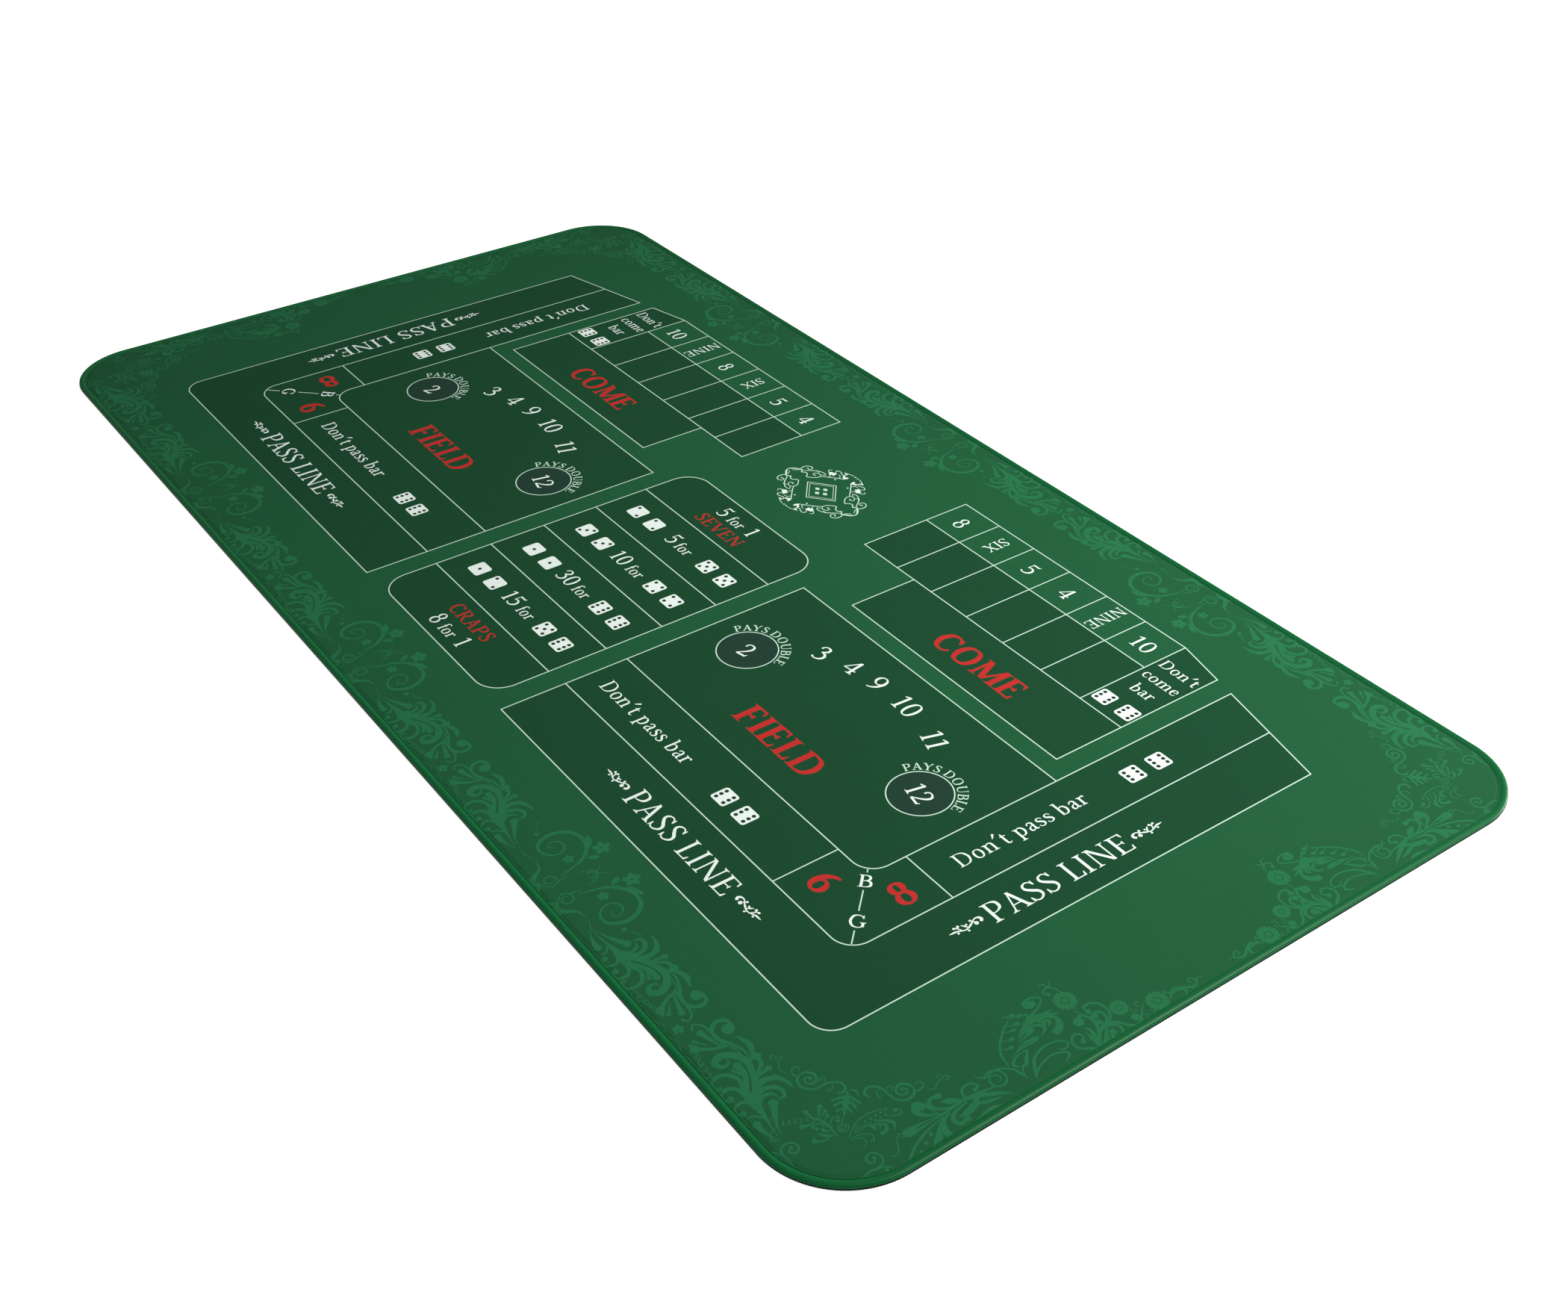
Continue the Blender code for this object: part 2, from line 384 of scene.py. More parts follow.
class Pen:
    """Draws letters of one weight at one place on the print."""

    def __init__(self, ink, thick, thin, size, origin, angle):
        self.ink = ink
        self.thick = thick
        self.thin = thin
        self.size = size / 100
        self.origin = origin
        self.angle = angle

    def width(self, weight):
        return self.thin + (self.thick - self.thin) * weight

    def place(self, x, y):
        along = x * self.size
        up = y * self.size
        return (
            self.origin[0] + along * cos(self.angle) - up * sin(self.angle),
            self.origin[1] + along * sin(self.angle) + up * cos(self.angle),
        )

    def polygon(self, points):
        fill(self.ink, [self.place(x, y) for x, y in points])

    def line(self, points, closed=False):
        placed = []
        for x, y, weight in points:
            placed.append((*self.place(x * STRETCH, y), self.width(weight) * self.size))
        stroke(self.ink, placed, closed)

    def diagonal(self, x0, y0, x1, y1, weight):
        """Straight stroke, cut level at its ends if it stands and upright if it lies."""
        x0 *= STRETCH
        x1 *= STRETCH
        run = hypot(x1 - x0, y1 - y0)
        half = self.width(weight) / 2
        if abs(y1 - y0) > abs(x1 - x0):
            half *= run / abs(y1 - y0)
            self.polygon([(x0 - half, y0), (x0 + half, y0), (x1 + half, y1), (x1 - half, y1)])
        else:
            half *= run / abs(x1 - x0)
            self.polygon([(x0, y0 - half), (x1, y1 - half), (x1, y1 + half), (x0, y0 + half)])

    def bowl(self, x, y, radius_x, radius_y):
        """Closed round, thick at its sides and thin above and below."""
        ring = []
        for step in range(12):
            angle = pi / 6 * step
            weight = 0.1 + 0.8 * cos(angle) ** 2
            ring.append((x + radius_x * cos(angle), y + radius_y * sin(angle), weight))
        self.line(through(ring, closed=True, steps=BOWL_STEPS), closed=True)

    def slab(self, x, y, way, weight, sides="lr"):
        """Bracketed serif at the end of a stem: way is 1 at a foot and -1 at a head."""
        x *= STRETCH
        half = self.width(weight) / 2
        left = half + SLAB_LENGTH * ("l" in sides)
        right = half + SLAB_LENGTH * ("r" in sides)
        height = SLAB_HEIGHT * way
        top = height + BRACKET * way
        self.polygon([
            (x - left, y), (x + right, y), (x + right, y + height * 0.7),
            (x + half + (right - half) * 0.3, y + height), (x + half, y + top),
            (x - half, y + top), (x - half - (left - half) * 0.3, y + height),
            (x - left, y + height * 0.7),
        ])

    def stem(self, x, low, high, foot, head, weight=1):
        middle = x * STRETCH
        half = self.width(weight) / 2
        self.polygon([
            (middle - half, low), (middle + half, low), (middle + half, high), (middle - half, high),
        ])
        if foot:
            self.slab(x, low, 1, weight, foot)
        if head:
            self.slab(x, high, -1, weight, head)

    def arm(self, start, end, y, way):
        """Thin arm of an E, F or L, with the wedge at its end pointing the given way."""
        half = self.thin / 2
        start *= STRETCH
        end *= STRETCH
        self.polygon([
            (start, y - half * way), (end, y - half * way), (end + 1.5, y + 20 * way),
            (end - 2.5, y + 20 * way), (end - 9, y + half * way), (start, y + half * way),
        ])

    def draw(self, part):
        kind, *numbers = part
        if kind == STEM:
            self.stem(*numbers)
        elif kind == BAR:
            start, end, y = numbers
            self.line([(start, y, 0), (end, y, 0)])
        elif kind == DIAGONAL:
            self.diagonal(*numbers)
        elif kind == ARM:
            self.arm(*numbers)
        elif kind == CURVE:
            self.line(through(numbers[0]))
        elif kind == LOOP:
            self.line(through(numbers[0], closed=True), closed=True)
        elif kind == BOWL:
            self.bowl(*numbers)
        elif kind == DOT:
            x, y, radius = numbers
            size = radius * self.thick / REGULAR[0]
            self.polygon(ellipse(x * STRETCH, y, size, sides=12))
        elif kind == SLAB:
            self.slab(*numbers)


REGULAR = (13.0, 5.0)
SEMIBOLD = (16.0, 6.0)
BOLD = (22.0, 8.5)


def text_width(text, size, tracking):
    return sum(LETTERS[letter][0] * STRETCH + tracking for letter in text) * size / 100


def write(text, x, y, size, ink="white", face=REGULAR, angle=0.0, span=None, align=0.5):
    """Write text along a baseline. align is 0 at its start, 0.5 at its middle, 1 at its end.

    span is the length that the text has to fill, by opening or closing its tracking.
    """
    tracking = 0.0
    turn = radians(angle)
    if span:
        tracking = (span - text_width(text, size, 0)) * 100 / size / len(text)
    start = -align * text_width(text, size, tracking)
    for letter in text:
        advance, parts = LETTERS[letter]
        shift = start + tracking * size / 200
        origin = (x + shift * cos(turn), y + shift * sin(turn))
        pen = Pen(ink, *face, size, origin, turn)
        for part in parts:
            pen.draw(part)
        start += (advance * STRETCH + tracking) * size / 100


def write_on_arc(text, x, y, radius, size, ink, face, tracking):
    """Write text round the top of a circle, centred above its middle."""
    width = text_width(text, size, tracking)
    along = -width / 2
    for letter in text:
        advance = (LETTERS[letter][0] * STRETCH + tracking) * size / 100
        angle = -(along + advance / 2) / radius
        base = (x + radius * sin(-angle), y + radius * cos(angle))
        write(letter, *base, size, ink, face, angle * 180 / pi)
        along += advance


# ---------------------------------------------------------------- the layout
# Sizes on the drawing, in units. A side of 1 is the right half and -1 its mirror image.
TABLE_LEFT = 164
FIELD_RIGHT = 600.5
DONT_PASS_RIGHT = 671.8
PASS_RIGHT = 744
FIELD_TOP_EDGE = 61.7
FIELD_FOOT = -177
DONT_PASS_FOOT = -254.5
PASS_FOOT = -332.6
TABLE_ROUNDING = 25
SIX_DIVIDER = 553.8
EIGHT_DIVIDER = -131
SHOULDER_X = 511
SHOULDER_SLOPE = -0.2385
POINTS_LEFT = 130.8
POINTS_STEP = 63.35
POINTS_COUNT = 7
POINTS_TOP = 332.7
POINTS_SPLIT = 270
POINTS_FOOT = 175.5
COME_LEFT = 226
COME_FOOT = 85.5
PAY_HALF_WIDTH = 134
PAY_TOP = 105
PAY_FOOT = -330.8
PAY_ROWS = 6
PAY_FIRST_ROW = 32.3
PAY_ROW_STEP = 72.6
PAY_ROUNDING = 32
DIE_SIZE = 22.5
FIELD_SHIFT = 762
DISC_RADIUS = 34.6
DISC_HEIGHT = -61
DIE_ROUNDING = 3.4
SPOT_SPACING = 6.4
SPOT_RADIUS = 2.35

# The line along the corner's diagonal that the letters B and G break
CORNER_LINE_X = 593
CORNER_LINE_Y = -171
CORNER_LINE_SLOPE = -73.6 / 72

# Letter sizes, and the lengths that words fill
RED_DIGIT_SIZE = 31.5
ODDS_LETTER_SIZE = 17
PASS_SIZE = 26.4
PASS_SPAN = 180
DONT_PASS_SIZE = 18.6
PAY_NUMBER_SIZE = 21.5
PAY_FOR_SIZE = 15
PAY_FOR_SPAN = 27
PAY_WORD_SIZE = 18.5
PAY_WORD_SPAN = 88


def shoulder(x):
    """Height of the slanted upper edge of the table at x."""
    return POINTS_TOP + SHOULDER_SLOPE * (x - SHOULDER_X)


def mirrored(side, points):
    return [(side * point[0], *point[1:]) for point in points]


def draw_table(side):
    """Pass line, don't-pass bar and field of one end."""
    outer = mirrored(side, [
        (TABLE_LEFT, FIELD_TOP_EDGE, 0), (TABLE_LEFT, PASS_FOOT, 0),
        (PASS_RIGHT, PASS_FOOT, TABLE_ROUNDING), (PASS_RIGHT, shoulder(PASS_RIGHT), 0),
        (FIELD_RIGHT, shoulder(FIELD_RIGHT), 0), (FIELD_RIGHT, FIELD_TOP_EDGE, 0),
    ])
    fill("panel", rounded(outer))
    frame_line(rounded(outer))
    for right, foot in ((FIELD_RIGHT, FIELD_FOOT), (DONT_PASS_RIGHT, DONT_PASS_FOOT)):
        bend = rounded(mirrored(side, [
            (TABLE_LEFT, foot, 0), (right, foot, TABLE_ROUNDING), (right, shoulder(right), 0),
        ]))
        rule(*bend)
    rule(*mirrored(side, [(SIX_DIVIDER, FIELD_FOOT), (SIX_DIVIDER, DONT_PASS_FOOT)]))
    rule(*mirrored(side, [(FIELD_RIGHT, EIGHT_DIVIDER), (DONT_PASS_RIGHT, EIGHT_DIVIDER)]))


def draw_corner_bets(side):
    """Big six and eight, and the odds letters between them, on the corner's diagonal."""
    write("6", side * 583, -231, RED_DIGIT_SIZE, "red", BOLD)
    write("8", side * 654, -166, RED_DIGIT_SIZE, "red", BOLD, angle=90 * side)
    for letter, x, y in (("B", 611.5, -189), ("G", 650, -228.5)):
        write(letter, side * x, y, ODDS_LETTER_SIZE, "white", SEMIBOLD, angle=45 * side)
    for piece in ((593.4, 596.6), (614, 634), (652.4, 665)):
        ends = [(x, CORNER_LINE_Y + CORNER_LINE_SLOPE * (x - CORNER_LINE_X)) for x in piece]
        rule(*mirrored(side, ends))


CORNER_SPOTS = [(-1, -1), (-1, 1), (1, -1), (1, 1)]
SPOTS = {
    1: [(0, 0)], 2: [(-1, 1), (1, -1)], 3: [(-1, -1), (0, 0), (1, 1)], 4: CORNER_SPOTS,
    5: CORNER_SPOTS + [(0, 0)], 6: [(-1, -1), (-1, 0), (-1, 1), (1, -1), (1, 0), (1, 1)],
}


def draw_die(x, y, spots, turned=False):
    """White die face with dark spots, upright or given a quarter turn."""
    half = DIE_SIZE / 2
    corners = ((-half, -half), (half, -half), (half, half), (-half, half))
    fill("white", rounded([(x + across, y + up, DIE_ROUNDING) for across, up in corners]))
    for across, up in SPOTS[spots]:
        if turned:
            across, up = -up, across
        middle = (x + across * SPOT_SPACING, y + up * SPOT_SPACING)
        fill("pip", ellipse(*middle, SPOT_RADIUS, sides=14))


def draw_flourish(x, y, direction, angle=0):
    """Small scroll beside the words of a pass line, its thick end towards the words."""
    motif = Motif(x, y, direction, 1, ink="white", angle=angle)
    motif.vines(
        (-20, 0.8, 0.6, -15, 0.6, 2.1, -11.5, 0.2, 1.6, -8, -1.5, 1.3, -4, -2.7, 1.3, 0, -2.2, 1.4,
         4, -0.4, 2, 7, 1.1, 1.4, 10, 3.2, 1.3, 13.4, 4.3, 1.5, 16.8, 3, 2.6, 17.6, 0.2, 3.2,
         15.4, -2.2, 2.6),
        (9, 2.4, 1, 9.6, 0.6, 1.1, 10.4, -1.4, 1.1, 2.3),
        (-6.4, -1.6, 1, -8, 1.2, 1.3, -9, 4, 1.5),
        (-9, 3.6, 1.2, -11.6, 4.8, 1.6, 1.4),
        (-9, 3.4, 1.2, -7, 4.9, 1.4, 1.5),
        (0.8, -1.8, 0.9, -1.4, 1.6, 1.8, -3.8, 4.6, 0.6),
        (-1.2, 1.4, 1, 1.2, 2.4, 1.2, 1.1),
        (7.6, 1.6, 0.6, 7.2, 4.3, 0.8, 1.4),
        (-2.6, -2.8, 0.6, -1.4, -5.1, 0.8, 1.2),
        (-10, -0.4, 0.6, -12, -2.6, 0.8, 1.2),
    )


def draw_pass_words(side):
    """The words along the pass line and the don't-pass bar, below and up the end."""
    middle = side * 454
    write("PASS LINE", middle, -306, PASS_SIZE, span=PASS_SPAN)
    for way in (-1, 1):
        draw_flourish(middle + way * 116.5, -294, -way)
    start = 188 if side > 0 else -529
    write("Don´t pass bar", start, -228, DONT_PASS_SIZE, span=168, align=0)
    for step in (0, 1):
        draw_die(start + 236 + 35.2 * step, -221.5, 6)
    upright = side * 722
    write("PASS LINE", upright, -31.5, PASS_SIZE, span=PASS_SPAN, angle=90 * side)
    for way in (-1, 1):
        draw_flourish(upright - side * 12.6, -31.5 + way * 114, -way, angle=90)
    start = -99 if side > 0 else 242
    write("Don´t pass bar", side * 644.5, start, DONT_PASS_SIZE, span=167, angle=90 * side, align=0)
    for step in (0, 1):
        draw_die(side * 637.5, start + side * (231 + 36 * step), 6, turned=True)


# Text, place and angle of each number on the field's arc
FIELD_NUMBERS = (
    ("3", 282, 2.4, 15), ("4", 323, 14, 8), ("9", 363, 18, 5), ("10", 414, 18, -3), ("11", 476, 5, -17),
)


def write_centred(text, x, y, drop, size, angle):
    """Write text turned about a place that lies the drop above its baseline."""
    turn = radians(angle)
    write(text, x + drop * sin(turn), y - drop * cos(turn), size, angle=angle)


def draw_field(shift):
    """The field's word, its number arc and the two discs."""
    write("FIELD", 381.5 - shift, -141.5, 33, "red", BOLD, span=134)
    for text, x, y, angle in FIELD_NUMBERS:
        write_centred(text, x - shift, y, 12.5, 25.5, angle)
    for text, x, angle in (("2", 228.2, 12), ("12", 534.5, -12)):
        middle = x - shift
        disc = ellipse(middle, DISC_HEIGHT, DISC_RADIUS, sides=64)
        fill("disc", disc)
        frame_line(disc)
        write_centred(text, middle, DISC_HEIGHT - 1, 11, 23, angle)
        write_on_arc("PAYS DOUBLE", middle, DISC_HEIGHT, 37.5, 11, "line", SEMIBOLD, -3)


def draw_points(side):
    """Point boxes with their numbers, the don't-come bar and the come box of one end."""
    edges = [POINTS_LEFT + POINTS_STEP * step for step in range(POINTS_COUNT + 1)]
    first, last, outside = edges[0], edges[-2], edges[-1]
    shoulder_end = (outside, shoulder(outside))
    bar = [(last, POINTS_FOOT), (outside, POINTS_FOOT), shoulder_end, (SHOULDER_X, POINTS_TOP)]
    low = [(first, POINTS_FOOT), (last, POINTS_FOOT), (last, POINTS_SPLIT), (first, POINTS_SPLIT)]
    fill("panel", mirrored(side, bar))
    fill("panel", mirrored(side, low))
    frame_line(mirrored(side, [
        (first, POINTS_FOOT), (outside, POINTS_FOOT), shoulder_end, (SHOULDER_X, POINTS_TOP),
        (first, POINTS_TOP),
    ]))
    for edge in edges[1:-1]:
        rule(*mirrored(side, [(edge, POINTS_FOOT), (edge, POINTS_TOP)]))
    rule(*mirrored(side, [(first, POINTS_SPLIT), (last, POINTS_SPLIT)]))
    come = mirrored(side, [
        (COME_LEFT, COME_FOOT), (outside, COME_FOOT), (outside, POINTS_FOOT), (COME_LEFT, POINTS_FOOT),
    ])
    fill("panel", come)
    frame_line(come)
    write("COME", side * 400, 111.5, 32, "red", BOLD, span=137)
    numbers = ["8", "SIX", "5", "4", "NINE", "10"]
    if side < 0:
        numbers = ["4", "5", "SIX", "8", "NINE", "10"]
    for text, start, end in zip(numbers, edges, edges[1:]):
        middle = side * (start + end) / 2
        if text.isalpha():
            write(text, middle - 8, (POINTS_TOP + POINTS_SPLIT) / 2, 16, angle=-90)
        else:
            write(text, middle, 288.6, 22.5)
    bar_middle = side * (last + outside) / 2
    for text, height in (("Don´t", 285), ("come", 257.5), ("bar", 230)):
        write(text, bar_middle, height, 15.5)
    for way in (-1, 1):
        draw_die(bar_middle + way * 17.5, 198.5, 6)


def draw_payouts():
    """Column of one-roll bets in the middle."""
    corners = [(-1, PAY_FOOT), (1, PAY_FOOT), (1, PAY_TOP), (-1, PAY_TOP)]
    loop = rounded([(way * PAY_HALF_WIDTH, y, PAY_ROUNDING) for way, y in corners])
    fill("panel", loop)
    frame_line(loop)
    for row in range(PAY_ROWS - 1):
        height = PAY_FIRST_ROW - PAY_ROW_STEP * row
        rule((-PAY_HALF_WIDTH, height), (PAY_HALF_WIDTH, height))
    write("SEVEN", 0, 44.5, PAY_WORD_SIZE, "red", SEMIBOLD, span=PAY_WORD_SPAN)
    write("CRAPS", 0, -290.5, PAY_WORD_SIZE, "red", SEMIBOLD, span=PAY_WORD_SPAN)
    for digit, baseline in (("5", 71.5), ("8", -318)):
        write(digit, -29.5, baseline, PAY_NUMBER_SIZE)
        write("for", -0.5, baseline, PAY_FOR_SIZE, span=PAY_FOR_SPAN)
        write("1", 29.5, baseline, PAY_NUMBER_SIZE)
    rows = (("5", (2, 2, 5, 5)), ("10", (3, 3, 4, 4)), ("30", (1, 1, 6, 6)), ("15", (1, 2, 5, 6)))
    for row, (text, dice) in enumerate(rows):
        middle = PAY_FIRST_ROW - PAY_ROW_STEP * (row + 0.5)
        baseline = middle - 8.5
        write(text, -15, baseline, PAY_NUMBER_SIZE)
        write("for", 12 if len(text) == 1 else 20, baseline, PAY_FOR_SIZE, span=PAY_FOR_SPAN)
        for spots, place in zip(dice, (-93.3, -56, 60.5, 97.6)):
            draw_die(place, middle, spots)


# ---------------------------------------------------------------- ornament
# Tone-on-tone scrollwork of plain curls, leaves and flowers round the border


class Motif:
    """Draws ornament at one place, mirrored and turned as asked."""

    def __init__(self, x=0, y=0, flip_x=1, flip_y=1, ink="ornament", fold=None, angle=0, weight=1.0):
        self.x = x
        self.y = y
        self.flip_x = flip_x
        self.flip_y = flip_y
        self.ink = ink
        self.fold = fold
        self.angle = radians(angle)
        self.weight = weight

    def place(self, x, y):
        """A point of the drawing; a folded one is mirrored in the line x + y = fold first."""
        if self.fold is not None:
            x, y = self.fold - y, self.fold - x
        x *= self.flip_x
        y *= self.flip_y
        return (
            self.x + x * cos(self.angle) - y * sin(self.angle),
            self.y + x * sin(self.angle) + y * cos(self.angle),
        )

    def vine(self, *numbers):
        """Smooth stem through x, y, width, x, y, width and so on; a last number is an end ball."""
        count = len(numbers) // 3
        points = [numbers[3 * index:3 * index + 3] for index in range(count)]
        line = [(*self.place(x, y), width * self.weight) for x, y, width in points]
        stroke(self.ink, through(line, steps=VINE_STEPS))
        if len(numbers) > 3 * count:
            self.dot(*points[-1][:2], numbers[-1])

    def vines(self, *lines):
        for numbers in lines:
            self.vine(*numbers)

    def leaf(self, x, y, angle, length, width, bend=0.0):
        """Leaf from its stalk to its tip, pointing at the angle and bending to one side."""
        turn = radians(angle)
        numbers = []
        for along, share in ((0, 0.15), (0.3, 0.85), (0.6, 1), (0.85, 0.6), (1, 0.08)):
            drift = bend * along * along * length
            numbers.extend((
                x + along * length * cos(turn) - drift * sin(turn),
                y + along * length * sin(turn) + drift * cos(turn),
                width * share,
            ))
        self.vine(*numbers)

    def curl(self, x, y, radius, start, turns, width, shrink, ball=0.0):
        """Spiral round a middle from its outer end inwards; turns below 0 run clockwise."""
        numbers = []
        count = max(6, int(abs(turns) * 9))
        for step in range(count + 1):
            share = step / count
            angle = radians(start) + 2 * pi * turns * share
            reach = radius * (1 - (1 - shrink) * share)
            thickness = width * (0.35 + 0.65 * sin(pi * min(share + 0.12, 1)) ** 0.7)
            numbers.extend((x + reach * cos(angle), y + reach * sin(angle), thickness))
        self.vine(*numbers)
        if ball:
            self.dot(numbers[-3], numbers[-2], ball)

    def dot(self, x, y, radius, long=1.0, angle=0.0, ink=None):
        turn = radians(angle)
        ring = []
        for px, py in ellipse(0, 0, radius * long, radius, sides=12):
            ring.append(self.place(
                x + px * cos(turn) - py * sin(turn),
                y + px * sin(turn) + py * cos(turn),
            ))
        fill(ink or self.ink, ring)

    def blossom(self, x, y, radius):
        """Five round petals, with the middle in the ground colour."""
        for petal in range(5):
            angle = 90 + 72 * petal
            reach = radius * 0.6
            self.dot(
                x + reach * cos(radians(angle)), y + reach * sin(radians(angle)),
                radius * 0.36, 1.2, angle,
            )
        self.dot(x, y, radius * 0.42)
        self.dot(x, y, radius * 0.15, ink="ground_over")

    def rosette(self, x, y, radius):
        """Round flower of many short petals, with a ring in the ground colour."""
        for petal in range(14):
            angle = radians(360 / 14 * petal)
            self.dot(x + radius * 0.84 * cos(angle), y + radius * 0.84 * sin(angle), radius * 0.18)
        self.dot(x, y, radius * 0.82)
        ring = []
        for px, py in ellipse(x, y, radius * 0.36, sides=14):
            ring.append((*self.place(px, py), radius * 0.1))
        stroke("ground_over", ring, closed=True)


def draw_spiral_pair(x, flip_y):
    """Pair of mirrored tendrils with flowers, standing on the border's foot."""
    for flip_x in (-1, 1):
        motif = Motif(x + 2 * flip_x, -HALF_WIDTH * flip_y, flip_x, flip_y)
        motif.vines(
            (14, 38, 1, 17, 52, 1.8, 23, 66, 2.4, 32, 76, 2.6, 43, 81, 3.2, 55, 81, 4, 65, 75, 4.6,
             71, 64, 4.6, 71, 52, 4.4, 65, 42, 3.8, 56, 39, 3, 47, 43, 2.4, 42, 52, 2, 45, 60, 1.8,
             52, 63, 1.7, 59, 60, 1.7, 61, 53, 1.6, 57, 49, 1.5, 52, 53, 1),
            (18, 50, 0.8, 19, 62, 1.2, 26, 74, 1.4, 34, 79, 0.8),
            (-6, 62, 0.8, -3, 67, 1.1, -6, 73, 1, -12, 79, 0.6),
            (8, 52, 0.8, 6, 62, 1.2, 1, 68, 1.4, -5, 68, 1.4, -7, 62, 1.2, -4, 59, 1),
            (10, 44, 1, 9, 34, 1.6, 5, 26, 1.8, 9, 20, 1.4, 14, 16, 0.8),
            (10, 32, 1.4, 15, 33, 1.8, 20, 29, 1.8, 19, 23, 1.8, 14, 21, 1.6, 10, 25, 1.4, 11, 30, 1),
            (6, 10, 0.8, 14, 14, 4.4, 22, 12, 5.2, 28, 18, 4.6, 34, 26, 2.6, 45, 29, 0.8),
            (20, 9, 3, 25, 16, 3.2, 31, 22, 1),
            (27, 8, 2.4, 28, 17, 2.4, 34, 24, 0.8),
            (84, 53, 0.8, 92, 55, 1, 96, 60, 0.8),
            (50, 29, 0.6, 60, 25, 1, 68, 26, 0.6),
        )
        motif.blossom(26, 90, 9)
        motif.blossom(30, 56, 6)
        motif.leaf(32, 79, 32, 20, 7, -0.1)
        motif.leaf(21, 71, 110, 12, 6, 0.15)
        motif.dot(80, 49, 2.6)


def draw_acanthus_pair(x, flip_y):
    """Two mirrored acanthus branches lying along the border."""
    for flip_x in (-1, 1):
        motif = Motif(x, -HALF_WIDTH * flip_y, flip_x, flip_y, weight=0.84)
        motif.vines(
            # the root at the outer end and the scrolls that leave it below
            (148, 24, 0.6, 130, 26, 2.6, 116, 28, 7, 104, 28, 11, 92, 29, 8, 80, 32, 3),
            (104, 28, 4, 88, 31, 4.6, 76, 32, 4.8, 67, 26, 5, 65, 17, 4.6, 70, 10.5, 4, 77, 13, 3,
             2.8),
            (100, 26, 4, 89, 26, 4.4, 82, 21, 4.8, 82, 13, 4.6, 88, 9.5, 3.8, 92, 14, 3, 3.6),
            (106, 26, 3, 100, 20, 3.6, 102, 12, 3.6, 108, 10, 3, 111, 14, 2.4, 3.2),
            (124, 25, 1.6, 118, 20, 2.8, 117, 14, 1),
            # plumes that rise from it
            (104, 30, 6, 95, 38, 7.2, 91, 50, 7, 96, 60, 6, 105, 64, 3.8, 113, 64, 1),
            (107, 30, 5, 99, 40, 5.6, 101, 50, 5.6, 108, 55, 5, 115, 53, 3.6, 115, 46, 1),
            (111, 30, 4, 105, 38, 4.4, 107, 46, 3.6, 113, 48, 0.8),
            (148, 27, 0.6, 137, 30, 2.2, 127, 35, 5.6, 116, 41, 8, 4.4),
            (153, 23, 0.6, 142, 19, 2.4, 133, 17, 5.6, 127, 17, 7, 3.8),
            (88, 46, 1.6, 92, 54, 3.4, 93, 59, 4, 2.4),
            (85, 45, 1.6, 83, 54, 4.4, 82, 60, 5.6, 3.2),
            # the great scroll and the crest over it
            (102, 32, 3, 88, 41, 5.2, 76, 47, 6.8, 64, 49, 7.8, 53, 44, 8.8, 47, 34, 8.8,
             51, 26, 7.6, 58, 28, 5, 58, 35, 3.2, 53, 37, 1.2),
            (94, 30, 3, 84, 36, 5, 74, 40, 6.4, 64, 40, 7, 3.6),
            (76, 38, 3, 67, 34, 4, 2.2),
            (90, 42, 2.4, 80, 51, 3.8, 74, 58, 4.4, 65, 59, 4.6, 4.4),
            (66, 54, 1.6, 57, 60, 5.8, 48, 62, 6.4, 42, 60, 4.2, 36, 58, 0.8),
            (68, 53, 1.2, 53, 54, 2.8, 40, 49, 3.8, 30, 44, 4, 19, 44, 4.4, 12, 52, 4.8,
             15, 61, 4.4, 25, 62, 3.6),
            (62, 50, 0.8, 47, 49, 1.6, 35, 42, 1),
            # leaves and tendrils at the middle
            (42, 45, 2.6, 29, 43, 3.2, 18, 43, 3.2, 8, 41, 2.6, 3, 35, 2.2, 7, 31, 1.8, 1.6),
            (38, 41, 1.6, 27, 38, 4.2, 15, 35, 6.2, 3.6),
            (40, 44, 3, 36, 33, 4, 28, 21, 5, 4.6),
            (30, 32, 1.4, 20, 25, 3.6, 2.2),
            (31, 27, 1.2, 22, 20, 2.8, 1.8),
            (36, 12, 0.6, 24, 10, 1.2, 12, 14, 1.2, 4, 11, 0.8),
        )
        motif.dot(25, 57, 6)
        for step in range(4):
            radius = 4.6 - 0.5 * step
            start = 200 - 20 * step
            motif.curl(58 - 7 * step, 14 + 1.6 * step, radius, start, 0.95, 1.5, 0.35)
    Motif(x, -HALF_WIDTH * flip_y, 1, flip_y).blossom(0, 22, 5.5)


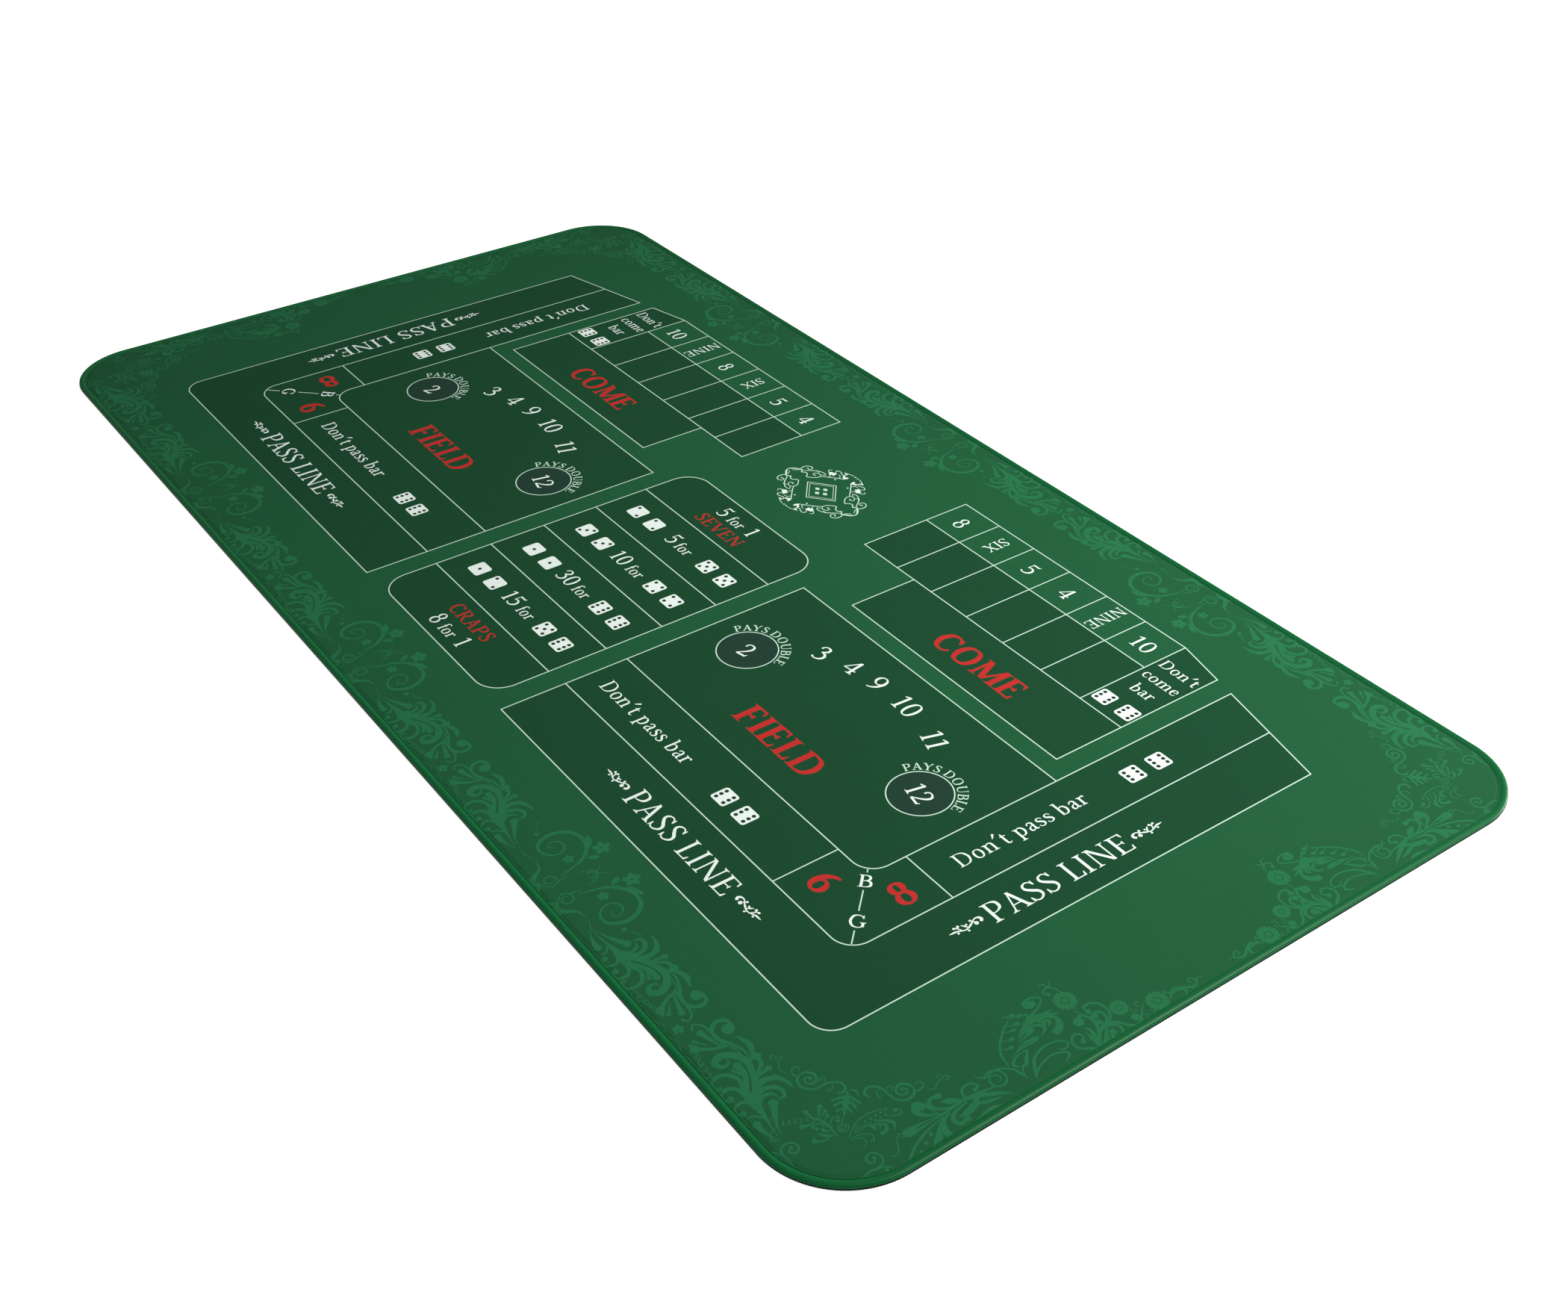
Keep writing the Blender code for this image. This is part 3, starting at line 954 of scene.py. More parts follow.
def draw_end_garland(flip_x, flip_y):
    """Flowers, plumes and beads down half of a short side."""
    motif = Motif(0, 0, flip_x, flip_y)
    for x, y, radius in ((880, -70, 11), (866, -103, 8.8), (832, -135.5, 11)):
        motif.rosette(x, y, radius)
    motif.vines(
        # the sprig at the middle of the side
        (882, -16, 0.8, 881, -22, 1, 885, -27, 1.8, 886, -33, 2.4, 881, -41, 2.4, 878, -49, 2.4,
         882, -55, 1.8, 885, -59, 1),
        (884, -25, 1.2, 880, -25, 1.4, 877, -29, 1.4, 880, -32, 1.2, 882, -29, 1),
        (883, -57, 1, 881, -48, 2, 884, -41, 2.2, 890, -43, 2.2, 889, -49, 1.4),
        (882, -57, 0.8, 879, -55, 1.2, 876, -58, 1.2, 1.6),
        # the stem under the first flower and the scrolls that leave it
        (875, -82, 0.8, 882, -91, 1.8, 888, -97, 2.4, 890, -104, 2.4, 885, -111, 2.6,
         877, -117, 3.2, 874, -125, 4.4, 876, -134, 4, 882, -141, 3.6, 890, -146, 1.4),
        (889, -101, 1.2, 888, -96, 2, 883, -99, 2, 4),
        (874, -122, 1.8, 868, -115, 2.6, 860, -112.5, 2.4, 852, -114, 2.2, 847, -121, 2.4,
         848, -128, 2.6, 854, -128, 2.2, 3),
        (874, -126, 1.8, 869, -120, 2.8, 862, -119, 2.8, 858, -123, 2.6, 861, -127, 2.2, 3.4),
        (875, -135, 1.6, 877, -124, 2.6, 881, -118, 2.8, 888, -119, 2.8, 891, -125, 2.6,
         888, -131, 2.6, 884, -127, 2.2, 3.4),
        (877, -131, 1.2, 872, -126, 1.8, 868, -129, 2.2, 3),
        (889, -146, 1.2, 880, -139, 2.6, 870, -133, 3, 860, -132, 3, 853, -137, 3.2, 858, -143, 4,
         5.2),
        (889, -147, 1.2, 880, -144, 4.4, 872, -141, 3, 865, -144, 0.8),
        (888, -148, 1, 879, -147, 2.4, 870, -146, 0.8),
        (890, -144, 1.2, 887, -137, 5, 880, -131, 2.6, 877, -126, 0.8),
        (823, -132, 0.8, 816, -133, 1.6, 811, -138, 1.8, 813, -145, 1.8, 818, -142, 1.6, 2),
        (806, -131, 0.8, 811, -136, 1.6, 805, -139, 1.4, 805, -144, 0.8),
        (842, -134, 0.8, 848, -136, 1.2, 852, -134, 0.8),
        (891, -148, 1.6, 886, -156, 2.4, 882, -162, 2.8, 875, -164.5, 2.2, 869, -161, 2.2,
         867, -155, 2, 872, -151, 2.2, 877, -155, 2, 2.8),
        (891, -149, 2.4, 888, -157, 0.8),
        # the great shell plume
        (832, -186, 0.8, 828, -174, 1.8, 825, -162, 2, 820, -153, 1.8, 815, -152, 1.8,
         811.5, -159, 2.2, 813, -168, 2.6, 818, -169, 2),
        (829, -178, 1, 825, -174, 1.8, 822, -179, 2),
        (840, -197, 0.8, 835, -186, 2.8, 833, -175, 5.6, 834, -165, 6.6, 837, -157, 3,
         840, -149, 0.8),
        (834, -182, 2.4, 830, -173, 3.4, 829, -166, 0.8),
        (834, -170, 3.4, 833, -160, 3.4, 834, -152, 0.8),
        (835, -163, 2.4, 842, -156, 3.8, 849, -157, 6, 854, -163, 7.2, 855, -169, 5.4),
        (836, -168, 2, 842, -163, 3.4, 846, -167, 0.8),
        (836, -172, 2, 841, -168, 2.8, 844, -171, 0.8),
        (837, -190, 0.8, 838, -178, 2.6, 843, -171, 3.4, 848, -173, 2.4, 850, -179, 0.8),
        (844, -200, 0.6, 840, -192, 2, 839, -185, 2.4),
        (846, -201, 0.6, 844, -192, 2, 843, -184, 2.4),
        (852, -209, 0.6, 849, -198, 2, 849, -188, 2.8),
        (855, -216, 0.6, 852, -205, 1.6, 852, -190, 2.8),
        (820, -190, 0.6, 825, -199, 1.8, 832, -209, 2, 841, -218, 2, 850, -223, 2.4, 861, -225, 0.6),
        (856, -200, 0.8, 862, -206, 3.2, 868, -212, 3.2, 867, -216, 1),
        (856, -201, 1.6, 856, -210, 1.8, 859, -218, 2.4, 863, -221, 3, 867, -218, 0.8),
        (867, -214, 1, 872, -219, 1.6, 880, -221, 0.8),
        (884, -215, 0.8, 876, -209, 2.8, 868, -203, 2.8, 863, -193, 2.2, 861.5, -183, 1.8,
         864, -172, 1.8, 869, -167, 2, 873, -169, 2, 874, -175, 1.6, 870, -178, 1),
        (885, -215, 0.6, 878, -207, 1.8, 874, -196, 1.8, 873, -186, 1.8, 876, -177, 2.2,
         880, -174, 3, 883, -177, 2, 885, -182, 0.8),
        (880, -220, 0.8, 874, -222, 2.6, 866, -224, 2.2, 859, -232, 2, 857, -241, 1.8, 859, -250, 2,
         852, -257, 0.8),
    )
    motif.dot(817.5, -164, 4.4, 1.4, 90)
    for x, y in ((822, -180), (818, -185), (828, -188), (832, -195), (839, -203), (846, -210)):
        motif.dot(x, y, 2, 1.5, 90)
        motif.vine(x, y, 1, x - 1, y - 5, 1.2, x - 3, y - 9, 0.8)
    for x, y in ((841, -184), (850.5, -187)):
        motif.dot(x, y, 2.7, 1.7, 90)
    for x, y in ((873, -87), (887, -83), (887, -91), (876, -94)):
        motif.curl(x, y, 3.2, 40 * y, 0.9, 1.1, 0.4)
    motif.curl(866, -243, 11, 215, -1.7, 1.9, 0.2)


def draw_corner(flip_x, flip_y):
    """Reeds, sprays and tendrils that turn round a corner of the mat."""
    motif = Motif(0, 0, flip_x, flip_y)
    motif.vines(
        # the hanging cluster of leaves beside the short side
        (872, -246, 0.8, 869, -262, 2.6, 867, -280, 3.2, 868, -296, 3, 869, -306, 2),
        (885, -241, 0.6, 878, -252, 3.8, 872, -264, 4.4, 869, -276, 1),
        (891, -254, 0.6, 887, -266, 3, 889, -284, 0.6),
        (883, -252, 0.8, 880, -264, 4, 876, -276, 1.6),
        (870, -274, 0.8, 864, -277, 2.2, 857, -273, 2.4, 856, -264, 2.4, 862, -260, 2.2,
         864, -265, 2, 2.2),
        (872, -268, 2.6, 877, -277, 6.4, 879, -286, 5.4, 879, -294, 0.8),
        (868, -287, 1.2, 864, -300, 2.6, 856, -306, 3.4, 850, -302, 3.4, 851, -294, 3.4, 3.2),
        (868, -303, 1.2, 863, -312, 2.8, 858, -318, 4.4, 853, -319, 7, 850.5, -315, 9, 6),
        (866, -306, 1, 857, -308, 2.4, 850, -309.5, 4),
        (868.5, -300, 1, 868, -314, 3.2, 867.4, -326, 6.4, 867, -338, 9.4, 4.8),
        (870, -278, 1.2, 873, -294, 3.2, 879, -300, 4, 885, -297, 3.8, 884, -289, 3, 3),
        (871, -297, 1.4, 874, -307, 4, 882, -312, 6.4, 889, -312, 6),
        (874, -309, 2.4, 882, -317, 5.4, 888, -324, 6, 891, -331, 1),
        (871, -304, 0.8, 874, -322, 2.2, 879, -337, 2.4, 885, -348, 2.6, 891, -356, 1.2),
    )
    fine = Motif(0, 0, flip_x, flip_y, weight=0.82)
    fine.vines(
        # the small shell plume
        (836, -336, 0.6, 832, -350, 1.6, 833, -365, 1.5, 843, -381, 0.8),
        (841, -343, 0.8, 846, -336, 1.4, 848, -330, 1.4, 843, -328, 1.4, 842, -332, 1.6, 2),
        (841, -353, 0.8, 846, -345, 3.4, 852, -341, 4, 857, -345, 0.8),
        (843, -356, 1.2, 849, -348, 3, 854, -350, 3.8, 855, -355, 3.6, 2.2),
        (842, -359, 0.8, 846, -351, 2.2, 850, -354, 0.8),
        (839, -361, 1.2, 846, -357, 3.6, 848, -359, 2.4),
        (842, -363, 0.8, 838, -367, 1.2, 841, -373, 1.2, 842, -365, 0.8),
        (844, -379, 0.8, 846, -369, 1.4, 852, -363, 1.4, 857, -366, 1.4, 855, -369, 0.8),
        (845, -381, 0.6, 848, -373, 1.4, 854, -371, 1.4, 858, -377, 0.8),
        # the small spray
        (836, -387, 0.8, 825, -386, 2.8, 815, -388, 3.4, 806, -394, 1.6),
        (811, -388, 1, 802, -380, 4.6, 2.6),
        (813, -387, 0.8, 808, -379, 2.2, 1.9),
        (809, -392, 1, 800, -393, 4.4, 2.4),
        (817, -386, 0.8, 812, -380, 2.6, 817, -381, 1),
        (824, -385, 0.8, 818, -379, 1.8, 820, -374, 1.8, 823, -377, 1.6, 2),
        (812, -391, 0.8, 813, -398, 2.4, 811, -404, 3.8, 2.6),
        (822, -388, 1.2, 816, -392, 2.2, 816, -398, 2, 820, -396, 1.6, 1.8),
        (828, -388, 1.2, 824, -393, 3.4, 821, -390, 0.8),
        (834, -388, 1, 830, -394, 3.6, 824, -398, 0.8),
        (833, -392, 0.8, 833, -399, 2.4, 829, -405, 2, 825, -403, 1.4),
        (821, -369, 0.8, 826, -375, 1.2, 830, -377, 0.8),
    )
    motif.vines(
        # the leaf on the corner's diagonal
        (802, -351, 0.8, 806, -355, 3.4, 811, -359.5, 5.6, 816, -364.5, 3.8, 822, -370, 0.8),
        (806, -354, 2, 812, -352.5, 3, 818, -351, 2, 1.7),
        (811, -359, 2.4, 815, -356.5, 3, 820, -356.5, 2, 1.6),
        (815, -364, 2, 818.5, -362, 2.2, 822, -362.5, 1.4, 1.1),
        (806, -355, 2, 804.5, -361, 3, 803, -367, 2, 1.7),
        (811, -360, 2.4, 808.5, -364, 3, 808.5, -369, 2, 1.6),
        (816, -365, 2, 814, -368.5, 2.2, 814.5, -372, 1.4, 1.1),
        (802, -349, 0.8, 806, -346, 2.4, 812, -347, 0.8),
    )
    motif.leaf(866, -281, 236, 17, 6, 0.1)
    slit = Motif(0, 0, flip_x, flip_y, ink="ground_over")
    slit.vines(
        (868, -311, 0.6, 867.6, -322, 1.8, 867.2, -331, 0.8),
        (862, -312, 0.4, 857, -315, 1.3, 853.5, -315.5, 0.6),
    )
    for x, y, radius in ((879, -324, 2), (884, -333, 2), (889, -341, 2), (829, -405, 2.4)):
        motif.dot(x, y, radius)
    for step in range(5):
        motif.dot(837, -338 - 5.3 * step, 1.3)
        motif.dot(840.5, -341 - 5.3 * step, 1.1)
        motif.dot(808 - 2 * step, -397 - 4.6 * step, 1.2)
        motif.dot(805.5 - 2 * step, -396 - 4.4 * step, 1)
    motif.curl(831, -378, 5.5, 120, -1.5, 1.3, 0.3, ball=1.2)
    for fold in (None, 459):
        vine = Motif(0, 0, flip_x, flip_y, fold=fold)
        vine.vines(
            (766, -375, 1.2, 761, -378, 1.5, 755, -375, 1.4, 756, -370, 1.4, 761, -371, 1),
            (764, -374, 1.2, 765, -368, 2.4, 770, -363.5, 2.8, 776, -364.5, 2.6, 778.5, -369.5, 2.2,
             775.5, -374, 2, 771, -373.5, 1.8, 769.6, -370, 1.8, 772.4, -368.4, 1.8, 1.9),
            (764, -373, 1.2, 768, -379, 2.6, 776, -380, 2.4, 783, -375, 2, 785, -366, 2,
             786, -358, 2.4, 790, -352, 2.6, 796, -350, 2.4, 801, -354, 2.6, 799, -360, 1.4),
            (785, -363, 0.8, 780, -359, 1.2, 778, -362, 1.2, 781, -365, 0.8),
            (787, -357, 0.8, 792, -359, 1.2, 793, -364, 1.2, 789, -364, 0.8),
            (756, -381, 0.8, 750, -384, 1.1, 743, -380, 1.1, 738, -379, 0.8),
        )
        vine.curl(735, -381, 3.4, 30, 1.1, 1.1, 0.3)
        vine.curl(739, -376, 2.4, 200, -1, 1, 0.4)
    for fold in (None, 447):
        sprout = Motif(0, 0, flip_x, flip_y, fold=fold)
        sprout.vines(
            (882, -399, 0.6, 880, -388, 1.8, 881, -379, 2, 878, -372, 1.8, 872, -370.5, 1.6,
             866, -374, 1.8, 866, -380, 2, 871, -383, 2, 875, -379, 1.8, 871, -376, 1.4, 1.6),
            (881, -381, 1, 884, -373, 1.6, 889, -369, 1),
            (864, -346, 0.8, 868, -351, 1.1, 875, -354, 1.1, 880, -360, 1, 877, -364, 0.8),
        )
        sprout.dot(886.5, -375, 2)
        sprout.curl(866, -345, 3.2, 0, 1.1, 1.1, 0.4)


# ---------------------------------------------------------------- the medallion
MEDALLION_HEIGHT = 206.5
MEDALLION_TALLNESS = 0.85
LOZENGE_TALLNESS = 0.8


def lozenge(x, y, reach):
    """Corners of a lozenge round a place."""
    rise = reach * LOZENGE_TALLNESS
    return [(x + reach, y), (x, y + rise), (x - reach, y), (x, y - rise)]


def draw_medallion():
    """Plain wreath of scrolls round a lozenge that holds four small ones."""
    for flip_x in (-1, 1):
        for flip_y in (-MEDALLION_TALLNESS, MEDALLION_TALLNESS):
            motif = Motif(0, MEDALLION_HEIGHT, flip_x, flip_y, ink="line")
            bud = Motif(0, MEDALLION_HEIGHT, flip_x, flip_y, ink="white")
            motif.vines(
                (71, -1, 0.8, 69, 5, 2.2, 63, 11, 2.4, 58, 15, 1.4),
                (66, 2, 0.7, 62, 7, 1, 60, 12, 0.7),
                (60, 12, 1, 63, 20, 1.4, 62, 27, 1.3, 57, 31, 1.2, 52, 28, 1.1, 53, 23, 1,
                 57, 24, 1, 1.3),
                (58, 15, 1.2, 54, 10, 1.5, 50, 14, 1.3, 45, 13, 1.3, 41, 8, 1.3, 36, 11, 1.2,
                 31, 18, 1.2, 31, 25, 1.1, 36, 28, 1.1, 41, 25, 1.1, 41, 20, 1, 37, 20, 0.9, 1.3),
                (57, 13, 0.9, 52, 20, 1.2, 47, 27, 1.3, 40, 33, 1.2, 33, 35, 1.1, 29, 32, 1,
                 33, 29, 0.8),
                (48, 25, 0.8, 44, 31, 1, 39, 29, 0.8),
                (31, 24, 0.9, 24, 32, 1.3, 18, 38, 1.3, 12, 44, 1.3, 7, 49, 1.1, 8, 56, 0.8),
                (23, 34, 0.8, 27, 41, 1.2, 34, 43, 1.2, 37, 47, 0.9, 34, 50, 0.8),
                (25, 47, 0.8, 29, 54, 1.2, 24, 57, 1.2, 18, 54, 1.1, 14, 56, 1.1, 14, 60, 1,
                 18, 61, 0.9),
                (20, 60, 0.7, 11, 64, 1, 5, 65.5, 0.7),
                (13, 42, 0.8, 15, 48, 1, 20, 50, 0.8),
            )
            bud.leaf(30, 46, 195, 9, 4.4, 0.2)
            bud.leaf(31, 46, 250, 8, 4.4, -0.2)
            bud.leaf(28, 44, 140, 7, 3.4)
            bud.leaf(9, 47, 100, 9, 4, 0.2)
            bud.leaf(9, 50, 30, 7, 3.2, 0.2)
            motif.dot(2.2, 65, 1.3)
            motif.dot(16, 60, 2.2)
            motif.dot(13, 37, 1.4)
    for reach, width in ((29, 1.1), (24, 0.7)):
        frame_line(lozenge(0, MEDALLION_HEIGHT, reach), width)
    for x, y in lozenge(0, MEDALLION_HEIGHT, 8):
        fill("line", lozenge(x, y, 4))


def draw_print():
    """The whole print: the ornament of the border first, then the markings."""
    for flip_y in (-1, 1):
        for x in (-449, -2, 445):
            draw_spiral_pair(x, flip_y)
        for x in (-665, -221.5, 217, 660.5):
            draw_acanthus_pair(x, flip_y)
        for flip_x in (-1, 1):
            draw_end_garland(flip_x, flip_y)
            draw_corner(flip_x, flip_y)
    for side in (-1, 1):
        draw_table(side)
        draw_corner_bets(side)
        draw_pass_words(side)
        draw_points(side)
    for shift in (0, FIELD_SHIFT):
        draw_field(shift)
    draw_payouts()
    draw_medallion()


# ---------------------------------------------------------------- pieces
# Path round the mat's rounded outline, and sections carried along it
OUTER = Vector((MAT_LENGTH / 2, MAT_WIDTH / 2))
STRAIGHT_X = 2 * (OUTER.x - CORNER_RADIUS)
STRAIGHT_Y = 2 * (OUTER.y - CORNER_RADIUS)
QUARTER = CORNER_RADIUS * pi / 2
PERIMETER = 2 * (STRAIGHT_X + STRAIGHT_Y) + 4 * QUARTER


def outline_at(distance):
    """Points of the outline and outward normals at distances anticlockwise from the lower left."""
    distance = np.mod(distance, PERIMETER)
    point = np.zeros((*distance.shape, 2))
    normal = np.zeros((*distance.shape, 2))
    start = 0.0
    corner = Vector((-OUTER.x + CORNER_RADIUS, -OUTER.y + CORNER_RADIUS))
    for quarter, straight in enumerate((STRAIGHT_X, STRAIGHT_Y, STRAIGHT_X, STRAIGHT_Y)):
        heading = quarter * pi / 2
        along = Vector((cos(heading), sin(heading)))
        outward = Vector((along.y, -along.x))
        on_side = (distance >= start) & (distance <= start + straight)
        run = distance[on_side] - start
        point[on_side] = np.array(corner + CORNER_RADIUS * outward) + run[:, None] * np.array(along)
        normal[on_side] = outward
        start += straight
        corner = corner + straight * along
        on_turn = (distance > start) & (distance < start + QUARTER)
        angle = heading - pi / 2 + (distance[on_turn] - start) / CORNER_RADIUS
        arm = np.column_stack((np.cos(angle), np.sin(angle)))
        point[on_turn] = np.array(corner) + CORNER_RADIUS * arm
        normal[on_turn] = arm
        start += QUARTER
    return point, normal


def inset_loop(inset):
    """Closed loop of (x, y) at one distance inside the outline."""
    loop = []
    for x_sign, y_sign, first in ((-1, -1, pi), (1, -1, 1.5 * pi), (1, 1, 0.0), (-1, 1, 0.5 * pi)):
        for step in range(OUTLINE_STEPS + 1):
            angle = first + pi / 2 * step / OUTLINE_STEPS
            loop.append((
                x_sign * (OUTER.x - CORNER_RADIUS) + (CORNER_RADIUS - inset) * cos(angle),
                y_sign * (OUTER.y - CORNER_RADIUS) + (CORNER_RADIUS - inset) * sin(angle),
            ))
    return loop


def make_piece(name, material, points, faces, smooth=True):
    mesh = bpy.data.meshes.new(name)
    mesh.from_pydata(points, [], faces)
    mesh.update()
    if smooth:
        mesh.shade_smooth()
    mesh.materials.append(material)
    piece = bpy.data.objects.new(name, mesh)
    bpy.context.scene.collection.objects.link(piece)
    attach(piece, "root")
    return piece


def sweep(name, slot, material, sections, repeats, slant):
    """Carry closed sections, each a list of (inset, height), round the mat in turn."""
    count = repeats * len(sections)
    section = np.tile(np.array(sections), (repeats, 1, 1))
    width = section[..., 0].max()
    station = np.arange(count)[:, None] * PERIMETER / count
    point, normal = outline_at(station + slant * section[..., 0] / width)
    flat = point - normal * section[..., :1]
    points = np.concatenate((flat, section[..., 1:]), axis=2).reshape(-1, 3)
    sides = section.shape[1]
    here = np.arange(count * sides).reshape(count, sides)
    ahead = np.roll(here, -1, axis=0)
    faces = np.stack((here, np.roll(here, -1, axis=1), np.roll(ahead, -1, axis=1), ahead), axis=2)
    return make_piece(name, material, points.tolist(), faces.reshape(-1, 4).tolist())


# ---------------------------------------------------------------- materials
class Nodes:
    """Short ways to build one material's nodes."""

    def __init__(self, name):
        self.material = bpy.data.materials.new(name)
        self.material.use_nodes = True
        self.tree = self.material.node_tree
        self.shader = self.tree.nodes["Principled BSDF"]
        place = self.tree.nodes.new("ShaderNodeTexCoord")
        self.place = place.outputs["Object"]
        split = self.tree.nodes.new("ShaderNodeSeparateXYZ")
        self.tree.links.new(self.place, split.inputs[0])
        self.x, self.y, _ = split.outputs

    def put(self, socket, value):
        if isinstance(value, bpy.types.NodeSocket):
            self.tree.links.new(value, socket)
        else:
            socket.default_value = value

    def math(self, operation, *values, clamp=False):
        node = self.tree.nodes.new("ShaderNodeMath")
        node.operation = operation
        node.use_clamp = clamp
        for socket, value in zip(node.inputs, values):
            self.put(socket, value)
        return node.outputs[0]

    def wave(self, along, pitch):
        """Sine that crosses zero once in every pitch."""
        return self.math("SINE", self.math("MULTIPLY", along, pi / pitch))

    def noise(self, scale, detail, stretch=(1, 1, 1)):
        """Noise between 0 and 1 in metres, drawn out along an axis whose stretch is small."""
        mapping = self.tree.nodes.new("ShaderNodeMapping")
        mapping.inputs["Scale"].default_value = stretch
        self.tree.links.new(self.place, mapping.inputs["Vector"])
        node = self.tree.nodes.new("ShaderNodeTexNoise")
        node.inputs["Scale"].default_value = scale
        node.inputs["Detail"].default_value = detail
        self.tree.links.new(mapping.outputs["Vector"], node.inputs["Vector"])
        return node.outputs["Fac"]

    def spread(self, value, low, high):
        """Map a value of 0 to 1 onto low to high."""
        return self.math("MULTIPLY_ADD", value, high - low, low)

    def colour(self, albedo, factor):
        node = self.tree.nodes.new("ShaderNodeVectorMath")
        node.operation = "SCALE"
        node.inputs[0].default_value = albedo
        self.put(node.inputs["Scale"], factor)
        self.tree.links.new(node.outputs[0], self.shader.inputs["Base Color"])

    def bump(self, height, depth, strength):
        node = self.tree.nodes.new("ShaderNodeBump")
        node.inputs["Strength"].default_value = strength
        node.inputs["Distance"].default_value = depth
        self.tree.links.new(height, node.inputs["Height"])
        self.tree.links.new(node.outputs[0], self.shader.inputs["Normal"])

    def settings(self, **values):
        for name, value in values.items():
            self.shader.inputs[name.replace("_", " ")].default_value = value


WEAVE_PITCH = 0.00042
WEAVE_DEPTH = 0.00003
YARN_SCALE = 900
YARN_STRETCH = 0.03
FIBRE_SCALE = 4500
FIBRE_DEPTH = 0.00006
STITCH_SCALE = 700
WAFFLE_PITCH = 0.0032
WAFFLE_DEPTH = 0.0003


def cloth(name, albedo):
    """Plain-woven polyester dyed with one ink."""
    nodes = Nodes(name)
    across = nodes.wave(nodes.x, WEAVE_PITCH)
    along = nodes.wave(nodes.y, WEAVE_PITCH)
    over = nodes.math("MULTIPLY", nodes.math("MULTIPLY", across, along), 3.0)
    over = nodes.math("MULTIPLY_ADD", over, 0.5, 0.5, clamp=True)
    warp = nodes.math("MULTIPLY", nodes.math("ABSOLUTE", across), over)
    weft = nodes.math("MULTIPLY", nodes.math("ABSOLUTE", along), nodes.math("SUBTRACT", 1.0, over))
    height = nodes.math("ADD", warp, weft)
    yarn = nodes.math(
        "MULTIPLY",
        nodes.spread(nodes.noise(YARN_SCALE, 2, (1, YARN_STRETCH, 1)), 0.95, 1.05),
        nodes.spread(nodes.noise(YARN_SCALE, 2, (YARN_STRETCH, 1, 1)), 0.95, 1.05),
    )
    patchy = nodes.spread(nodes.noise(5, 3), 0.97, 1.03)
    shade = nodes.math("MULTIPLY", yarn, patchy)
    # shade is the random tone of the yarns and of large patches. The weave's hollows are painted up to
    # 14% darker than its crowns: painted shade between the yarns, beside the bump.
    nodes.colour(albedo, nodes.math("MULTIPLY", shade, nodes.spread(height, 0.86, 1.06)))
    nodes.put(nodes.shader.inputs["Roughness"], nodes.spread(nodes.noise(400, 2), 0.72, 0.88))
    nodes.bump(height, WEAVE_DEPTH, 0.5)
    nodes.settings(Sheen_Weight=0.005, Sheen_Roughness=0.5, Specular_IOR_Level=0.03)
    return nodes.material


def thread(name, albedo, roughness, specular):
    """Twisted polyester thread, its fibres running across the border."""
    nodes = Nodes(name)
    fibre = nodes.noise(FIBRE_SCALE, 2)
    stitch = nodes.noise(STITCH_SCALE, 1)
    patchy = nodes.spread(nodes.noise(8, 2), 0.95, 1.05)
    # The fibre noise sets both the tone and the bump, so the thread is painted darker in the bump's
    # hollows: random fibre tone, partly painted shade.
    factor = nodes.math("MULTIPLY", nodes.spread(fibre, 0.8, 1.2), nodes.spread(stitch, 0.9, 1.1))
    nodes.colour(albedo, nodes.math("MULTIPLY", factor, patchy))
    gloss = nodes.spread(stitch, roughness - 0.06, roughness + 0.06)
    nodes.put(nodes.shader.inputs["Roughness"], gloss)
    nodes.bump(fibre, FIBRE_DEPTH, 0.5)
    nodes.settings(Sheen_Weight=0.01, Sheen_Roughness=0.4, Specular_IOR_Level=specular)
    return nodes.material


def foamed_rubber():
    """Black rubber with a fine waffle that grips the table."""
    nodes = Nodes("foamed_rubber")
    ribs_x = nodes.math("ABSOLUTE", nodes.wave(nodes.x, WAFFLE_PITCH))
    ribs_y = nodes.math("ABSOLUTE", nodes.wave(nodes.y, WAFFLE_PITCH))
    pits = nodes.math("SMOOTH_MIN", ribs_x, ribs_y, 0.2)
    grain = nodes.noise(1800, 3)
    relief = nodes.math("MULTIPLY_ADD", grain, 0.12, nodes.math("SUBTRACT", 1.0, pits))
    # The rubber's colour has random grain and is painted darker in the waffle's pits than on its ribs:
    # painted shade in the pits.
    nodes.colour((0.014, 0.014, 0.015), nodes.math(
        "MULTIPLY", nodes.spread(grain, 0.7, 1.3), nodes.spread(pits, 1.1, 0.7),
    ))
    nodes.put(nodes.shader.inputs["Roughness"], nodes.spread(nodes.noise(60, 2), 0.68, 0.84))
    nodes.bump(relief, WAFFLE_DEPTH, 0.8)
    nodes.settings(Specular_IOR_Level=0.35)
    return nodes.material


def melted_film():
    """Milky hot-melt film between the cloth and the rubber."""
    nodes = Nodes("melted_film")
    cloud = nodes.noise(120, 3)
    nodes.colour((0.62, 0.62, 0.55), nodes.spread(cloud, 0.85, 1.1))
    nodes.put(nodes.shader.inputs["Roughness"], nodes.spread(cloud, 0.35, 0.55))
    nodes.bump(cloud, 0.00004, 0.4)
    return nodes.material


# ---------------------------------------------------------------- the printed cloth
OUTLINE_STEPS = 32
CUT_TOLERANCE = 1e-4
TRIANGLES_INSIDE = 1
INK_DEPTH = 0.00002
PRINT_SHIFT = (1.5, -1.1)

ALBEDO = {
    "ground": (0.0094, 0.0680, 0.0260),
    "ornament": (0.0130, 0.1060, 0.0425),
    "panel": (0.0068, 0.0442, 0.0176),
    "disc": (0.0110, 0.0330, 0.0222),
    "line": (0.40, 0.53, 0.44),
    "red": (0.36, 0.019, 0.017),
    "white": (0.55, 0.62, 0.57),
    "pip": (0.014, 0.030, 0.022),
}
PIECE_OF_INK = {
    "ground": "print_ground", "ground_over": "print_ground", "ornament": "print_ornament",
    "panel": "print_panels", "disc": "print_discs", "line": "print_lines", "red": "print_red",
    "white": "print_white", "pip": "print_pips",
}


